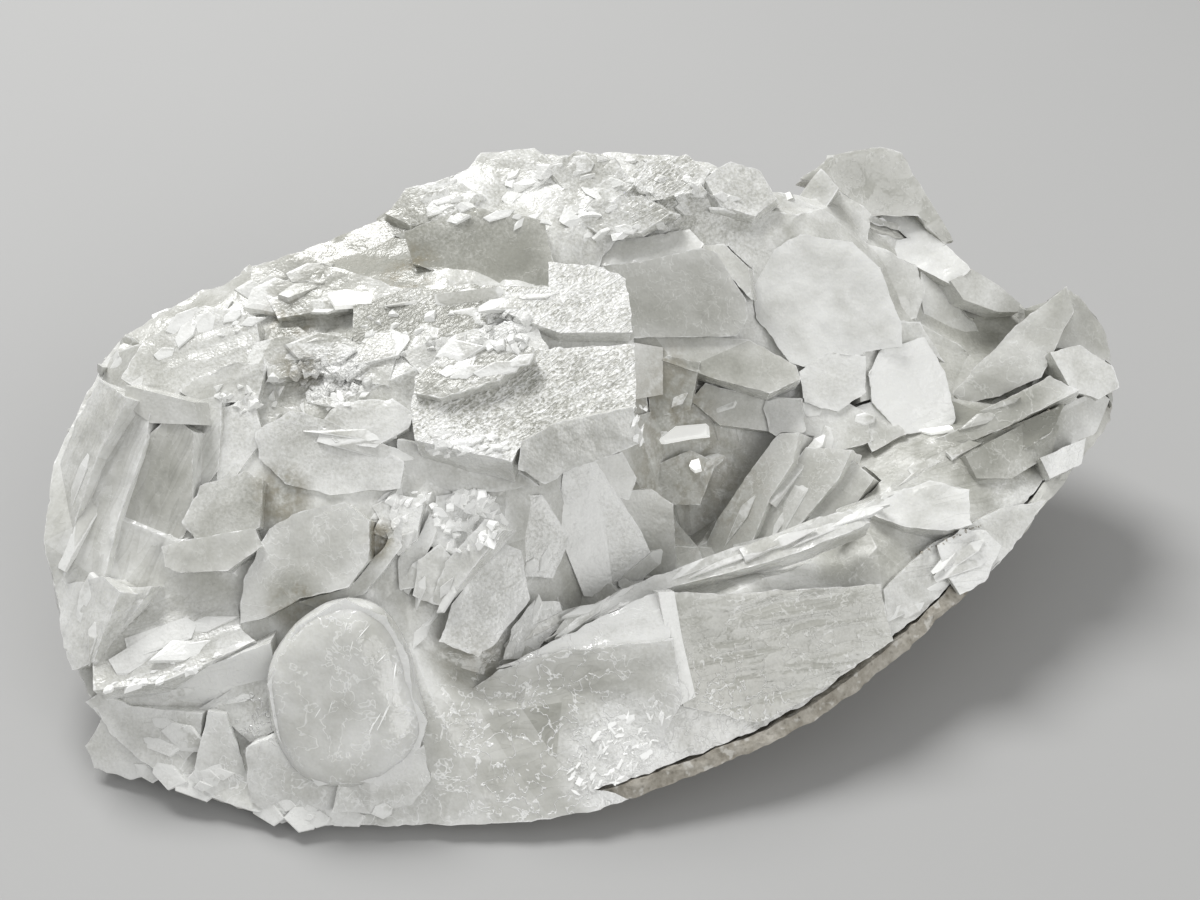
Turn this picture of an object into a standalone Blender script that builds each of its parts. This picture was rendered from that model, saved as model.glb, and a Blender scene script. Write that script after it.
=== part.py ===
"""Calcite specimen: a broken piece of a crystal pocket's wall, 150 mm long.

Three pieces grown on one another: the host rock's rind, which is the smooth bowl outside, the calcite that
fills it, and the crust of crystals that lines the open hollow. Metres, +Z up. The origin is at the middle of
the footprint's box, on the surface that the specimen rests on. +X runs along its length and -Y is its front.
"""

import math
import random

import bmesh
import bpy
import numpy as np
from mathutils import Matrix, Vector, noise

MM = 0.001
SEED = 41

# Driving dimensions, in millimetres.
RIND_THICKNESS = 2.0
RIND_EDGE_WAVER = 0.05
PIECE_GAP = 0.3
CLEARANCE_REACH = 4.0
LINING_RISE = 0.8
LINING_DEPTH = 2.8
LINING_ROUGHNESS = 1.6
LINING_GRAIN = 4.0
SPOKES = 48
SKIN_RINGS = 5
TOP_RINGS = 9
LINING_SPOKES = 18
LINING_RINGS = 3
TOP_ROUGHNESS = 1.0
TOP_GRAIN = 8.0
SKIN_ROUGHNESS = 0.9
SKIN_GRAIN = 17.0
CORNER_JITTER = 0.07
GIRDLE_DEPTH = 0.3
DRAWN_TAPER = 0.1
WELD = 0.02
FLAT_DEG = 0.4
CALCITE_FOOT = 0.7

# The sheet that the main crystals are drawn on: what the eye that looks at the specimen aims at, how high and
# how far away it is, and the sheet's middle and its units for a slope of one.
EYE_AIM = (0, 0, 25)
EYE_HEIGHT_DEG = 38
EYE_DISTANCE = 264
SHEET_MIDDLE = (600, 450)
SHEET_SCALE = 1900

# The underside, seen from the origin: direction in degrees from +X towards +Y, how far the flat foot reaches,
# where the belly between foot and rim bulges to (reach, height), and how much of the way up the rind goes.
UNDERSIDE = [
    (0, 30, 58, 4, 1.0),
    (20, 30, 64, 6, 1.0),
    (45, 28, 64, 10, 0.97),
    (65, 25, 60, 16, 0.9),
    (90, 22, 62, 18, 0.85),
    (115, 24, 64, 18, 0.8),
    (140, 32, 68, 18, 0.74),
    (160, 40, 76, 16, 0.66),
    (180, 46, 80, 10, 0.58),
    (200, 50, 78, 6, 0.5),
    (220, 50, 68, 1, 0.5),
    (240, 46, 54, 0, 0.55),
    (260, 40, 45, 0, 0.75),
    (280, 34, 40.5, 1.5, 1.0),
    (300, 28, 41, 3.5, 1.0),
    (320, 24, 39, 5.5, 1.0),
    (340, 26, 49, 5, 1.0),
]

# The rim, where the calcite broke off, point by point round the specimen (x, y, z).
RIM = [
    (76, 15.5, 24),
    (68.6, 4, 21.2),
    (60, -6.8, 17.3),
    (46.6, -20.6, 13.9),
    (33, -32.8, 10),
    (15, -41.4, 6.3),
    (-5, -47, 3),
    (-21, -48, 2),
    (-40, -46.5, 2),
    (-56, -41.5, 4),
    (-65, -36, 8),
    (-69.8, -28, 15),
    (-73, -19.6, 25),
    (-72.8, -11, 30),
    (-70.2, -2, 34),
    (-66, 7, 38),
    (-56, 15, 41.5),
    (-43, 20, 44.3),
    (-30, 25, 47.8),
    (-18, 32, 52),
    (-2, 34, 52.5),
    (16, 33, 51.5),
    (27, 32.5, 46.5),
    (42, 38, 40),
    (54, 38, 33),
    (66, 33, 25),
    (73, 25, 23.5),
]

# Heights of the broken top between the rim's points (x, y, z).
HOLLOW_FLOOR = [(13, 3, 9), (4, -7, 10), (26, 1, 11), (20, -8, 10), (-4, -22, 13), (-14, -30, 13)]
WALL_CREST = [
    (9, -26, 22),
    (-8, -33, 17),
    (-22, -40, 13),
    (20, -20, 22),
    (36, -11, 23),
    (48, -1, 24),
    (60, 9, 25),
]
HOLLOW_BACK = [
    (6, 14, 33),
    (18, 13, 30),
    (30, 13, 27),
    (33, 24, 41),
    (44, 13, 24),
    (48, 26, 30),
    (60, 24, 24),
]
RIDGE = [(-14, 22, 50), (0, 24, 50), (12, 25, 49), (25, 27, 46)]
MOUND_TOP = [
    (-50, 4, 42),
    (-34, 8, 45),
    (-16, 8, 46),
    (-4, 4, 45),
    (-28, -6, 44),
    (-10, -8, 41),
    (-45, -6, 40),
]
MOUND_FRONT = [(-12, -20, 28), (-26, -23, 28), (-40, -24, 26), (-56, -22, 27), (-30, -33, 17), (-48, -34, 13)]

# The hollow's lining, seen from its middle: direction in degrees and how far it reaches.
HOLLOW_MIDDLE = (14, -2)
LINING_EDGE = [(0, 20), (45, 19), (90, 13), (135, 12), (180, 13), (215, 22), (250, 18), (290, 15), (325, 17)]


def plate(name, at, facing, size, spin=0, cut=0.3, slant=0.12, lean=0.0, sides=6):
    """A tabular crystal: the middle of its outer face, where that face looks (azimuth, elevation), and its
    (length, width, thickness). Spin turns the length from the horizontal, cut is how much of the length its
    pointed ends take, slant how much smaller the outer face is than the inner one, and lean how far the
    points sit to one side. A plate of four sides has square ends and one of ten is rounded."""
    return {
        "name": name,
        "at": at,
        "facing": facing,
        "size": size,
        "spin": spin,
        "cut": cut,
        "slant": slant,
        "lean": lean,
        "sides": sides,
    }


def pack(first, count, step):
    """Parallel crystals, each a step (x, y, z) on from the one before."""
    made = []
    for k in range(count):
        spec = dict(first)
        spec["name"] = f"{first['name']} {k + 1}"
        spec["at"] = tuple(a + k * s for a, s in zip(first["at"], step))
        made.append(spec)
    return made


def drawn(name, at, facing, thickness, corners):
    """A crystal whose outline is drawn on the sheet, corner by corner (to the right, down). Its face lies in
    the plane through a point and looks one way (azimuth, elevation). In place of the point, a number says how
    proud of the broken top the middle of the face stands."""
    return {"name": name, "at": at, "facing": facing, "thickness": thickness, "corners": corners}


BACK_CLUSTER = [
    drawn("great plate", (32, 17, 36), (-97, 40), 6,
          [(752, 264), (800, 234), (852, 242), (880, 268), (900, 322), (902, 346), (866, 352), (828, 374),
           (790, 362), (756, 318)]),
    drawn("great plate's shoulder", (43, 13, 30), (-66, 38), 5,
          [(896, 322), (920, 322), (944, 362), (924, 346), (884, 352)]),
    drawn("white plate", (43.3, 11, 29.5), (-82, 44), 5,
          [(880, 350), (924, 338), (944, 372), (957, 418), (948, 431), (900, 434), (872, 402), (868, 375)]),
    drawn("stepped plate", (34, 9.4, 28), (-98, 44), 5,
          [(830, 352), (866, 356), (866, 392), (838, 412), (804, 402), (800, 372)]),
    drawn("lower stepped plate", (33, 7, 25), (-100, 50), 4,
          [(800, 402), (838, 398), (864, 410), (872, 442), (830, 453), (795, 438)]),
    drawn("foot of the white plate", (38, 8, 26), (-92, 54), 4,
          [(850, 408), (880, 400), (906, 434), (872, 452)]),
    drawn("bright shelf", (26, 7, 26), (-112, 48), 4,
          [(762, 398), (802, 398), (806, 430), (790, 444), (768, 432)]),
    drawn("rear grey blade", (43.5, 36.5, 40), (-84, 36), 8,
          [(802, 178), (830, 158), (880, 147), (902, 152), (952, 240), (944, 243), (918, 216), (870, 216),
           (838, 190)]),
    drawn("small bright plate", (31.2, 34.5, 44), (-115, 38), 5,
          [(789, 205), (821, 170), (839, 188), (812, 228), (790, 233)]),
    drawn("grey slope", (41, 32, 38), (-75, 44), 5,
          [(838, 188), (872, 214), (868, 241), (838, 236), (802, 232)]),
    drawn("white shelf", (47.2, 34, 36), (-95, 60), 5,
          [(868, 215), (917, 216), (946, 245), (968, 270), (952, 284), (918, 268), (868, 242)]),
    drawn("glassy tip", (59, 34.5, 28.6), (-65, 45), 4,
          [(952, 284), (972, 268), (1000, 285), (1022, 304), (1020, 313), (998, 312), (966, 298)]),
    drawn("upper slope", (43.5, 27, 33.5), (-72, 45), 5,
          [(866, 242), (918, 266), (924, 292), (916, 318), (900, 322), (882, 268)]),
    drawn("middle slope", (51.5, 27, 28.4), (-60, 48), 5,
          [(920, 268), (950, 286), (976, 322), (986, 348), (956, 350), (924, 320)]),
    drawn("lower slope", (58, 29, 27), (-75, 48), 5,
          [(950, 284), (998, 310), (1018, 326), (990, 354), (970, 340)]),
    drawn("foot of the slope", (51.5, 21, 25), (-70, 40), 5,
          [(918, 322), (960, 346), (980, 366), (958, 398), (942, 372)]),
]
RIGHT_END = [
    drawn("right blade", (60.4, 18, 31.6), (-108, 40), 9,
          [(954, 394), (974, 368), (1015, 326), (1066, 288), (1075, 312), (1055, 348), (1040, 376), (1000, 396),
           (962, 404)]),
    drawn("right blade's back", (71, 19.5, 28), (-45, 42), 9,
          [(1066, 288), (1085, 302), (1106, 332), (1113, 368), (1080, 348), (1054, 348), (1072, 312)]),
    drawn("end facet", (70, 8, 25.6), (-78, 48), 5,
          [(1050, 352), (1080, 344), (1112, 366), (1120, 388), (1098, 398), (1072, 390)]),
    drawn("rim blade", (50, 4.5, 25.2), (-110, 44), 6,
          [(862, 480), (905, 450), (955, 431), (1000, 402), (1050, 376), (1080, 390), (1054, 403), (1000, 430),
           (950, 448), (895, 470)]),
    drawn("rim blade's neighbour", (56, 1.5, 23.5), (-100, 50), 5,
          [(890, 500), (930, 472), (960, 450), (1040, 410), (1064, 404), (1052, 432), (990, 472), (940, 482)]),
    drawn("rim plate", (42.5, -11, 23.5), (-95, 62), 4,
          [(870, 514), (895, 492), (930, 481), (969, 490), (971, 524), (948, 531), (905, 527)]),
    drawn("rim button", (49, -15.5, 19.7), (-80, 48), 4,
          [(938, 546), (960, 530), (986, 530), (1002, 546), (985, 582), (960, 594), (944, 572)]),
    drawn("cleaved patch", (63.5, -2, 22.5), (-75, 46), 4,
          [(1040, 458), (1086, 438), (1082, 464), (1050, 480)]),
]
MOUND_PLATES = [
    drawn("long slab", (-19, 5, 47.8), (-94, 70), 5,
          [(352, 304), (400, 290), (470, 284), (552, 288), (552, 314), (500, 318), (470, 331), (400, 348),
           (354, 350)]),
    drawn("slab's left end", (-38, 9, 47.6), (-102, 62), 5,
          [(264, 292), (322, 262), (352, 272), (404, 290), (352, 306), (278, 318)]),
    drawn("upper ledge", (-1.5, 2.5, 49), (-88, 70), 5,
          [(549, 263), (594, 265), (626, 278), (632, 332), (560, 333), (504, 312), (504, 292), (550, 288)]),
    drawn("grey step", (-9, -1.5, 45.4), (-88, 52), 5,
          [(504, 322), (560, 328), (634, 326), (634, 348), (560, 353), (522, 348)]),
    drawn("main ledge", (-8.6, -11.5, 43.2), (-92, 68), 6,
          [(416, 380), (500, 353), (560, 348), (634, 345), (637, 408), (560, 424), (522, 442), (512, 462),
           (415, 440), (410, 405)]),
    drawn("main ledge's brow", (-2.5, -18.2, 41), (-84, 28), 5,
          [(520, 442), (560, 422), (632, 407), (644, 442), (576, 468), (545, 483), (518, 470)]),
    drawn("green-grey plate", (-18, -9.5, 45.8), (-102, 64), 4,
          [(414, 376), (450, 352), (520, 340), (536, 350), (500, 380), (440, 398), (414, 393)]),
    drawn("lip", (-30.4, -15.6, 36.4), (-98, 42), 8,
          [(256, 432), (290, 410), (330, 420), (404, 462), (400, 488), (330, 495), (285, 484), (258, 458)]),
    drawn("lip's step", (-30, -12, 39.6), (-96, 56), 6,
          [(318, 424), (340, 403), (392, 400), (414, 412), (408, 428), (375, 447), (335, 442)]),
    drawn("lip's end", 0.8, (-92, 26), 5, [(398, 440), (515, 468), (540, 486), (460, 494), (400, 472)]),
    drawn("hanging plate", (-47.5, -12.5, 36), (-106, 46), 6,
          [(222, 408), (252, 395), (264, 440), (246, 462), (225, 494), (217, 478)]),
    drawn("hanging plate's neighbour", (-52.5, -11, 36.5), (-112, 40), 6,
          [(186, 402), (222, 394), (219, 470), (205, 487), (184, 472)]),
    drawn("shoulder plate", (-54, -3, 41.2), (-112, 58), 6,
          [(146, 338), (205, 306), (256, 315), (262, 358), (205, 394), (155, 400), (120, 378)]),
    drawn("second shoulder plate", (-48, -8, 39.6), (-104, 50), 6,
          [(178, 390), (235, 360), (266, 366), (258, 400), (200, 406)]),
    drawn("rear shoulder plate", (-36, 15, 47.8), (-100, 62), 6,
          [(252, 266), (300, 252), (322, 264), (282, 284), (278, 312), (250, 312)]),
    drawn("flaky slab", 1.0, (-98, 58), 5,
          [(262, 346), (330, 334), (398, 350), (388, 386), (320, 372), (268, 380)]),
    drawn("crusty patch", 1.0, (-94, 60), 5,
          [(400, 352), (475, 328), (530, 318), (548, 350), (500, 357), (420, 374)]),
    drawn("smooth lens", (-17, 13, 48.8), (-96, 48), 6,
          [(403, 232), (470, 206), (545, 220), (554, 262), (550, 287), (470, 282), (412, 264)]),
]
LEFT_BLADES = [
    drawn("first left blade", 1.3, (-110, 36), 6,
          [(172, 415), (194, 432), (192, 520), (150, 592), (103, 574), (118, 520), (136, 470), (146, 440)]),
    drawn("second left blade", 1.6, (-126, 40), 6,
          [(127, 408), (152, 400), (146, 442), (118, 520), (104, 578), (76, 592), (76, 520), (95, 460)]),
    drawn("third left blade", 1.4, (-142, 36), 6,
          [(100, 380), (128, 398), (97, 457), (76, 518), (62, 582), (49, 530), (58, 470), (76, 420)]),
    drawn("upper left blade", 1.2, (-132, 46), 6,
          [(110, 356), (152, 340), (156, 392), (130, 408), (100, 384)]),
    drawn("lower left blade", 1.2, (-136, 34), 6,
          [(58, 585), (102, 576), (120, 592), (100, 642), (94, 662), (72, 670), (62, 640)]),
    drawn("second lower left blade", 1.0, (-118, 36), 6,
          [(118, 588), (152, 586), (142, 602), (108, 644), (96, 664), (98, 626)]),
    drawn("upper lobed plate", (-49, -21, 30.8), (-100, 46), 4,
          [(184, 522), (200, 486), (245, 470), (263, 480), (260, 528), (220, 541), (196, 539)]),
    drawn("lobed plate", (-49.5, -24, 28.5), (-98, 48), 5,
          [(160, 546), (198, 538), (256, 528), (263, 546), (228, 571), (182, 573), (164, 567)]),
    drawn("smooth blade", (-37.8, -26.6, 26.8), (-104, 40), 6,
          [(240, 624), (244, 580), (268, 528), (300, 511), (345, 502), (369, 520), (368, 560), (348, 587),
           (300, 599), (262, 620)]),
    drawn("bright slope", (-55, -31, 18), (-106, 64), 6,
          [(94, 690), (92, 652), (120, 625), (160, 600), (236, 598), (242, 630), (256, 640), (210, 662),
           (160, 683)]),
    drawn("under-slope", (-50, -34.4, 13.5), (-98, 16), 6,
          [(98, 690), (160, 682), (212, 664), (270, 643), (276, 672), (225, 706), (190, 717), (118, 706)]),
    drawn("left foot plate", (-59.5, -37.5, 7), (-108, 26), 6,
          [(87, 702), (102, 692), (130, 706), (202, 714), (200, 746), (180, 766), (130, 779), (94, 768),
           (86, 746), (100, 719)]),
    drawn("foot triangle", (-50, -41.5, 7), (-84, 30), 6,
          [(194, 768), (208, 712), (226, 714), (254, 792), (240, 806), (206, 792)]),
    drawn("front lens", (-33.5, -39.5, 16.3), (-88, 34), 9,
          [(268, 684), (298, 625), (345, 599), (386, 617), (407, 655), (414, 700), (428, 722), (420, 748),
           (370, 782), (318, 786), (278, 740)]),
    drawn("front lens's band", 1.0, (-106, 34), 6,
          [(214, 702), (262, 664), (276, 684), (280, 728), (250, 742), (224, 718)]),
    drawn("lower front lens", (-44, -43.5, 6.6), (-96, 26), 7,
          [(246, 748), (272, 738), (300, 744), (347, 786), (330, 811), (282, 823), (250, 802)]),
    drawn("front lens's foot", (-30, -46, 6), (-86, 28), 6,
          [(338, 786), (424, 746), (430, 780), (410, 806), (370, 814), (332, 812)]),
]
FRONT_PLATES = [
    drawn("middle plate", (-8.5, -18.5, 25), (-74, 36), 3.5,
          [(503, 541), (509, 497), (542, 494), (570, 538), (552, 577), (521, 576)]),
    drawn("wide plate", (-15.8, -30, 21.5), (-84, 42), 4.5,
          [(438, 642), (452, 604), (485, 561), (506, 543), (521, 550), (531, 599), (498, 641), (478, 656)]),
    drawn("low plate", (-8.6, -28.4, 17), (-84, 46), 4,
          [(503, 660), (511, 630), (535, 601), (559, 603), (567, 620), (530, 657)]),
    drawn("narrow plate", (-19.6, -27.5, 26), (-122, 34), 4,
          [(430, 604), (446, 562), (484, 518), (503, 530), (472, 570), (444, 606)]),
    drawn("leaning plate", (-24, -26.5, 26), (-84, 40), 4,
          [(412, 596), (418, 560), (440, 544), (456, 560), (432, 604)]),
    drawn("slender blade", (-30, -27.5, 25), (-100, 44), 4,
          [(298, 602), (350, 588), (384, 546), (396, 528), (402, 546), (366, 592), (320, 610)]),
    drawn("curled plate", (-26.4, -22, 30), (-104, 48), 5,
          [(384, 530), (372, 506), (396, 494), (424, 500), (416, 540), (398, 556)]),
    drawn("second curled plate", (-23.4, -22.6, 28.6), (-96, 46), 4,
          [(398, 558), (418, 540), (430, 512), (436, 530), (414, 588), (400, 590)]),
    drawn("sparkling plate", (-17, -20.8, 30), (-88, 46), 5,
          [(436, 496), (480, 491), (499, 504), (505, 540), (478, 546), (456, 561), (432, 546)]),
    drawn("wall's bright facet", (2, -28.5, 20.5), (-106, 60), 5,
          [(498, 668), (545, 646), (600, 618), (642, 598), (664, 590), (670, 642), (640, 642), (600, 650)]),
    drawn("wall's left face", (-1, -36.2, 13.4), (-98, 34), 6,
          [(470, 690), (500, 670), (560, 652), (672, 640), (682, 700), (640, 780), (560, 806), (440, 812),
           (428, 752)]),
    drawn("wall's right face", (24, -27.6, 19), (-76, 44), 6,
          [(666, 590), (720, 594), (800, 589), (880, 585), (892, 640), (832, 684), (760, 724), (684, 706)]),
    drawn("wall's far face", (42, -17, 18.6), (-66, 46), 5,
          [(884, 590), (930, 545), (1000, 508), (1046, 500), (1004, 560), (944, 614), (890, 642)]),
    drawn("wall's crest", (17, -22, 23), (-98, 64), 4,
          [(545, 640), (572, 614), (650, 577), (720, 555), (850, 509), (872, 522), (800, 552), (720, 575),
           (664, 590)]),
]
RIDGE_PLATES = [
    plate("first ridge flake", (-13, 30, 51.8), (-104, 56), (17, 8, 6), spin=14, cut=0.25),
    plate("second ridge flake", (-1, 28, 52.2), (-86, 50), (15, 8, 6), spin=-12, cut=0.3),
    plate("third ridge flake", (10, 28.5, 52), (-80, 60), (13, 7, 6), spin=6, cut=0.25),
    plate("fourth ridge flake", (20, 28.5, 50), (-70, 52), (13, 8, 6), spin=-26, cut=0.3),
    plate("fifth ridge flake", (3, 22, 49.6), (-98, 44), (16, 6, 5), spin=8, cut=0.3),
    plate("sixth ridge flake", (-24, 24, 50.4), (-110, 58), (15, 7, 6), spin=26, cut=0.25),
]
REAR_PLATES = (
    pack(plate("rear slab", (-34, 33, 32), (104, 30), (26, 8, 5), spin=8, cut=0.2), 3, (15, 2.5, 3))
    + pack(plate("rear blade", (30, 43, 33), (82, 30), (22, 6, 5), spin=-18, cut=0.2), 2, (9, -1, -5))
    + pack(plate("left rear blade", (-68, 12, 32), (158, 30), (20, 6, 5), spin=70, cut=0.2), 3, (7, 6, 1))
)
HOLLOW_CRYSTALS = [
    drawn("grey plate", (11.5, 16, 40.6), (-92, 30), 4,
          [(580, 266), (640, 262), (700, 248), (716, 252), (746, 300), (748, 318), (736, 336), (638, 338),
           (580, 336)]),
    drawn("grey plate's dark edge", (8, 18, 44), (-94, 62), 3,
          [(572, 264), (577, 248), (690, 229), (704, 244), (700, 249), (640, 262), (580, 268)]),
    drawn("grey plate's neighbour", (20.5, 15.5, 39.5), (-112, 38), 4,
          [(698, 246), (724, 244), (749, 268), (752, 300), (737, 284), (716, 262)]),
    drawn("level blade", (16, 10, 32.2), (-95, 54), 5,
          [(632, 338), (690, 334), (750, 340), (796, 365), (801, 379), (770, 393), (716, 379), (638, 352)]),
    drawn("lower level blade", (21, 8.5, 25.8), (-94, 46), 4,
          [(690, 400), (706, 383), (722, 388), (760, 396), (801, 398), (803, 413), (775, 432), (720, 425)]),
    drawn("long leaning blade", (21.5, 0.5, 16.8), (-138, 36), 4,
          [(748, 553), (700, 557), (716, 522), (752, 468), (778, 434), (799, 432), (793, 462), (769, 500)]),
    drawn("second leaning blade", (27.5, -2, 18.2), (-134, 38), 4,
          [(770, 548), (746, 552), (789, 470), (806, 447), (852, 450), (839, 478), (802, 522)]),
    drawn("third leaning blade", (34.5, -3.6, 20.8), (-130, 42), 4,
          [(798, 534), (834, 478), (853, 461), (874, 478), (848, 516)]),
    drawn("deep plate", (12.6, 6.5, 21.4), (-100, 40), 3,
          [(640, 472), (690, 450), (716, 462), (700, 505), (660, 505)]),
    drawn("dark plate", (9.4, 8.5, 28), (-104, 30), 3,
          [(646, 372), (668, 356), (700, 362), (690, 410), (650, 418)]),
    drawn("hollow's left plate", (7.6, -8.6, 16.4), (-76, 30), 3,
          [(611, 493), (652, 489), (673, 504), (677, 574), (652, 582), (638, 560)]),
    drawn("small wedge", (13.1, -9.6, 15), (-100, 34), 3,
          [(678, 520), (690, 513), (705, 528), (717, 563), (680, 568)]),
    drawn("tall plate", (0, -13.5, 21.4), (-72, 34), 3.5,
          [(565, 462), (591, 454), (641, 531), (655, 562), (628, 603), (605, 599), (576, 530), (561, 490)]),
    drawn("plate behind it", (3.2, -8.4, 25), (-74, 32), 3,
          [(588, 462), (622, 452), (637, 478), (629, 500), (610, 496)]),
]


def smooth_loop(angles, values, wanted):
    """Values given at some angles of a full turn, read at the wanted angles from a smooth closed curve."""
    order = np.argsort(angles)
    a = np.array(angles, float)[order]
    v = np.array(values, float)[order]
    a = np.concatenate([a[-2:] - 360, a, a[:2] + 360])
    v = np.concatenate([v[-2:], v, v[:2]])
    read = []
    for angle in wanted:
        i = int(np.clip(np.searchsorted(a, angle, side="right") - 1, 1, len(a) - 3))
        t = (angle - a[i]) / (a[i + 1] - a[i])
        before = (v[i + 1] - v[i - 1]) / (a[i + 1] - a[i - 1])
        after = (v[i + 2] - v[i]) / (a[i + 2] - a[i])
        step = a[i + 1] - a[i]
        blend = (2 * t**3 - 3 * t**2 + 1, t**3 - 2 * t**2 + t, 3 * t**2 - 2 * t**3, t**3 - t**2)
        shape = (v[i], step * before, v[i + 1], step * after)
        read.append(sum(weight * value for weight, value in zip(blend, shape)))
    return np.array(read)


def spoke_angles():
    return np.arange(SPOKES) * 360.0 / SPOKES


def rim_loop():
    """The rim's points, one for each spoke."""
    rim = np.array(RIM, float)
    angles = np.degrees(np.arctan2(rim[:, 1], rim[:, 0])) % 360
    reach = smooth_loop(angles, np.hypot(rim[:, 0], rim[:, 1]), spoke_angles())
    height = smooth_loop(angles, rim[:, 2], spoke_angles())
    turn = np.radians(spoke_angles())
    return np.stack([reach * np.cos(turn), reach * np.sin(turn), height], axis=1)


def skin_rings(reach_up=None):
    """The specimen's outside from the foot upwards, SKIN_RINGS + 1 rings of points: to the rim, or for each
    spoke as much of the way as reach_up says."""
    table = np.array(UNDERSIDE, float)
    foot, belly, belly_height = (smooth_loop(table[:, 0], table[:, k], spoke_angles()) for k in (1, 2, 3))
    rim = rim_loop()
    rim_reach = np.hypot(rim[:, 0], rim[:, 1])
    out = rim[:, :2] / rim_reach[:, None]
    top = np.ones(SPOKES) if reach_up is None else reach_up
    rings = []
    for part in np.linspace(0, 1, SKIN_RINGS + 1):
        share = part * top
        near, middle, far = (1 - share) ** 2, 2 * share * (1 - share), share**2
        radius = near * foot + middle * belly + far * rim_reach
        height = np.maximum(middle * belly_height + far * rim[:, 2], 0)
        ring = np.column_stack([out * radius[:, None], height])
        lumps = np.array([noise.noise(Vector(p) / SKIN_GRAIN) for p in ring])
        swell = SKIN_ROUGHNESS * lumps * np.minimum(1.0, 3 * share)
        rings.append(ring + np.column_stack([out * swell[:, None], np.zeros(SPOKES)]))
    return np.array(rings)


def rind_rings():
    """The outside of the rind, which ends short of the rim at the back and on the left."""
    table = np.array(UNDERSIDE, float)
    edge = smooth_loop(table[:, 0], table[:, 4], spoke_angles())
    turn = np.radians(spoke_angles())
    waver = np.array([noise.noise(Vector((2.2 * math.cos(t), 2.2 * math.sin(t), SEED))) for t in turn])
    edge = np.where(edge < 0.99, edge + RIND_EDGE_WAVER * waver, 1.0)
    return skin_rings(edge)


def inset(rings, depth):
    """Rings moved inwards by a depth, square to the surface that they describe."""
    round_way = np.roll(rings, -1, axis=1) - np.roll(rings, 1, axis=1)
    up_way = np.gradient(rings, axis=0)
    normals = np.cross(round_way, up_way)
    normals /= np.linalg.norm(normals, axis=2, keepdims=True)
    normals[0] = (0, 0, -1)
    moved = rings - depth * normals
    moved[0, :, 2] = rings[0, :, 2] + depth
    if depth > 0:
        moved[1:, :, 2] = np.maximum(moved[1:, :, 2], depth)
    return moved


class Heights:
    """A height for every place, from heights given at a few, with straight slopes between them."""

    def __init__(self, spots):
        self.spots = np.array(spots, float)
        n = len(self.spots)
        plan = self.spots[:, :2]
        system = np.zeros((n + 3, n + 3))
        system[:n, :n] = np.linalg.norm(plan[:, None] - plan[None], axis=2)
        system[:n, n] = system[n, :n] = 1
        system[:n, n + 1 :] = plan
        system[n + 1 :, :n] = plan.T
        self.weights = np.linalg.solve(system, np.concatenate([self.spots[:, 2], np.zeros(3)]))

    def at(self, plan):
        reach = np.linalg.norm(plan[:, None] - self.spots[None, :, :2], axis=2)
        return np.column_stack([reach, np.ones(len(plan)), plan]) @ self.weights


def top_rings(rim):
    """The calcite's broken top from the rim to the middle: TOP_RINGS rings of points, the rim's first."""
    spots = HOLLOW_FLOOR + WALL_CREST + HOLLOW_BACK + RIDGE + MOUND_TOP + MOUND_FRONT
    heights = Heights(spots + [tuple(p) for p in rim[::2]])
    rings = [rim]
    for share in np.linspace(1, 0, TOP_RINGS + 1)[1:-1]:
        plan = rim[:, :2] * share
        z = heights.at(plan)
        rough = [noise.cell(Vector((x, y, h)) / TOP_GRAIN) - 0.5 for (x, y), h in zip(plan, z)]
        rings.append(np.column_stack([plan, z + TOP_ROUGHNESS * np.array(rough)]))
    return np.array(rings), heights


def closed_mesh(name, rings, low_pole, high_pole):
    """A closed mesh from rings of points stacked from a low pole to a high one."""
    bm = bmesh.new()
    loops = [[bm.verts.new(Vector(p) * MM) for p in ring] for ring in rings]
    low = bm.verts.new(Vector(low_pole) * MM)
    high = bm.verts.new(Vector(high_pole) * MM)
    count = len(rings[0])
    for j in range(count):
        k = (j + 1) % count
        bm.faces.new((low, loops[0][k], loops[0][j]))
        bm.faces.new((high, loops[-1][j], loops[-1][k]))
        for lower, upper in zip(loops, loops[1:]):
            bm.faces.new((lower[j], lower[k], upper[k], upper[j]))
    bmesh.ops.triangulate(bm, faces=bm.faces)
    return finished(name, bm)


def finished(name, bm):
    bmesh.ops.recalc_face_normals(bm, faces=bm.faces)
    mesh = bpy.data.meshes.new(name)
    bm.to_mesh(mesh)
    bm.free()
    made = bpy.data.objects.new(name, mesh)
    bpy.context.scene.collection.objects.link(made)
    return made


def sight(right, down):
    """The eye, and the way that it looks through a point of the drawing sheet."""
    height = math.radians(EYE_HEIGHT_DEG)
    away = Vector((0, -math.cos(height), math.sin(height)))
    up = Vector((0, math.sin(height), math.cos(height)))
    level = Vector((right - SHEET_MIDDLE[0], 0, 0))
    way = level + up * (SHEET_MIDDLE[1] - down) - away * SHEET_SCALE
    return Vector(EYE_AIM) + away * EYE_DISTANCE, way.normalized()


def compass(facing):
    azimuth, elevation = (math.radians(a) for a in facing)
    level = math.cos(elevation)
    return Vector((level * math.cos(azimuth), level * math.sin(azimuth), math.sin(elevation)))


def meets_top(right, down, heights):
    """Where the line of sight through a point of the sheet first meets the broken top."""
    eye, way = sight(right, down)
    far = np.arange(EYE_DISTANCE - 75, EYE_DISTANCE + 75, 0.5)
    path = np.array(eye)[None] + far[:, None] * np.array(way)[None]
    below = path[:, 2] < heights.at(path[:, :2])
    return Vector(path[int(np.argmax(below))])


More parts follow.
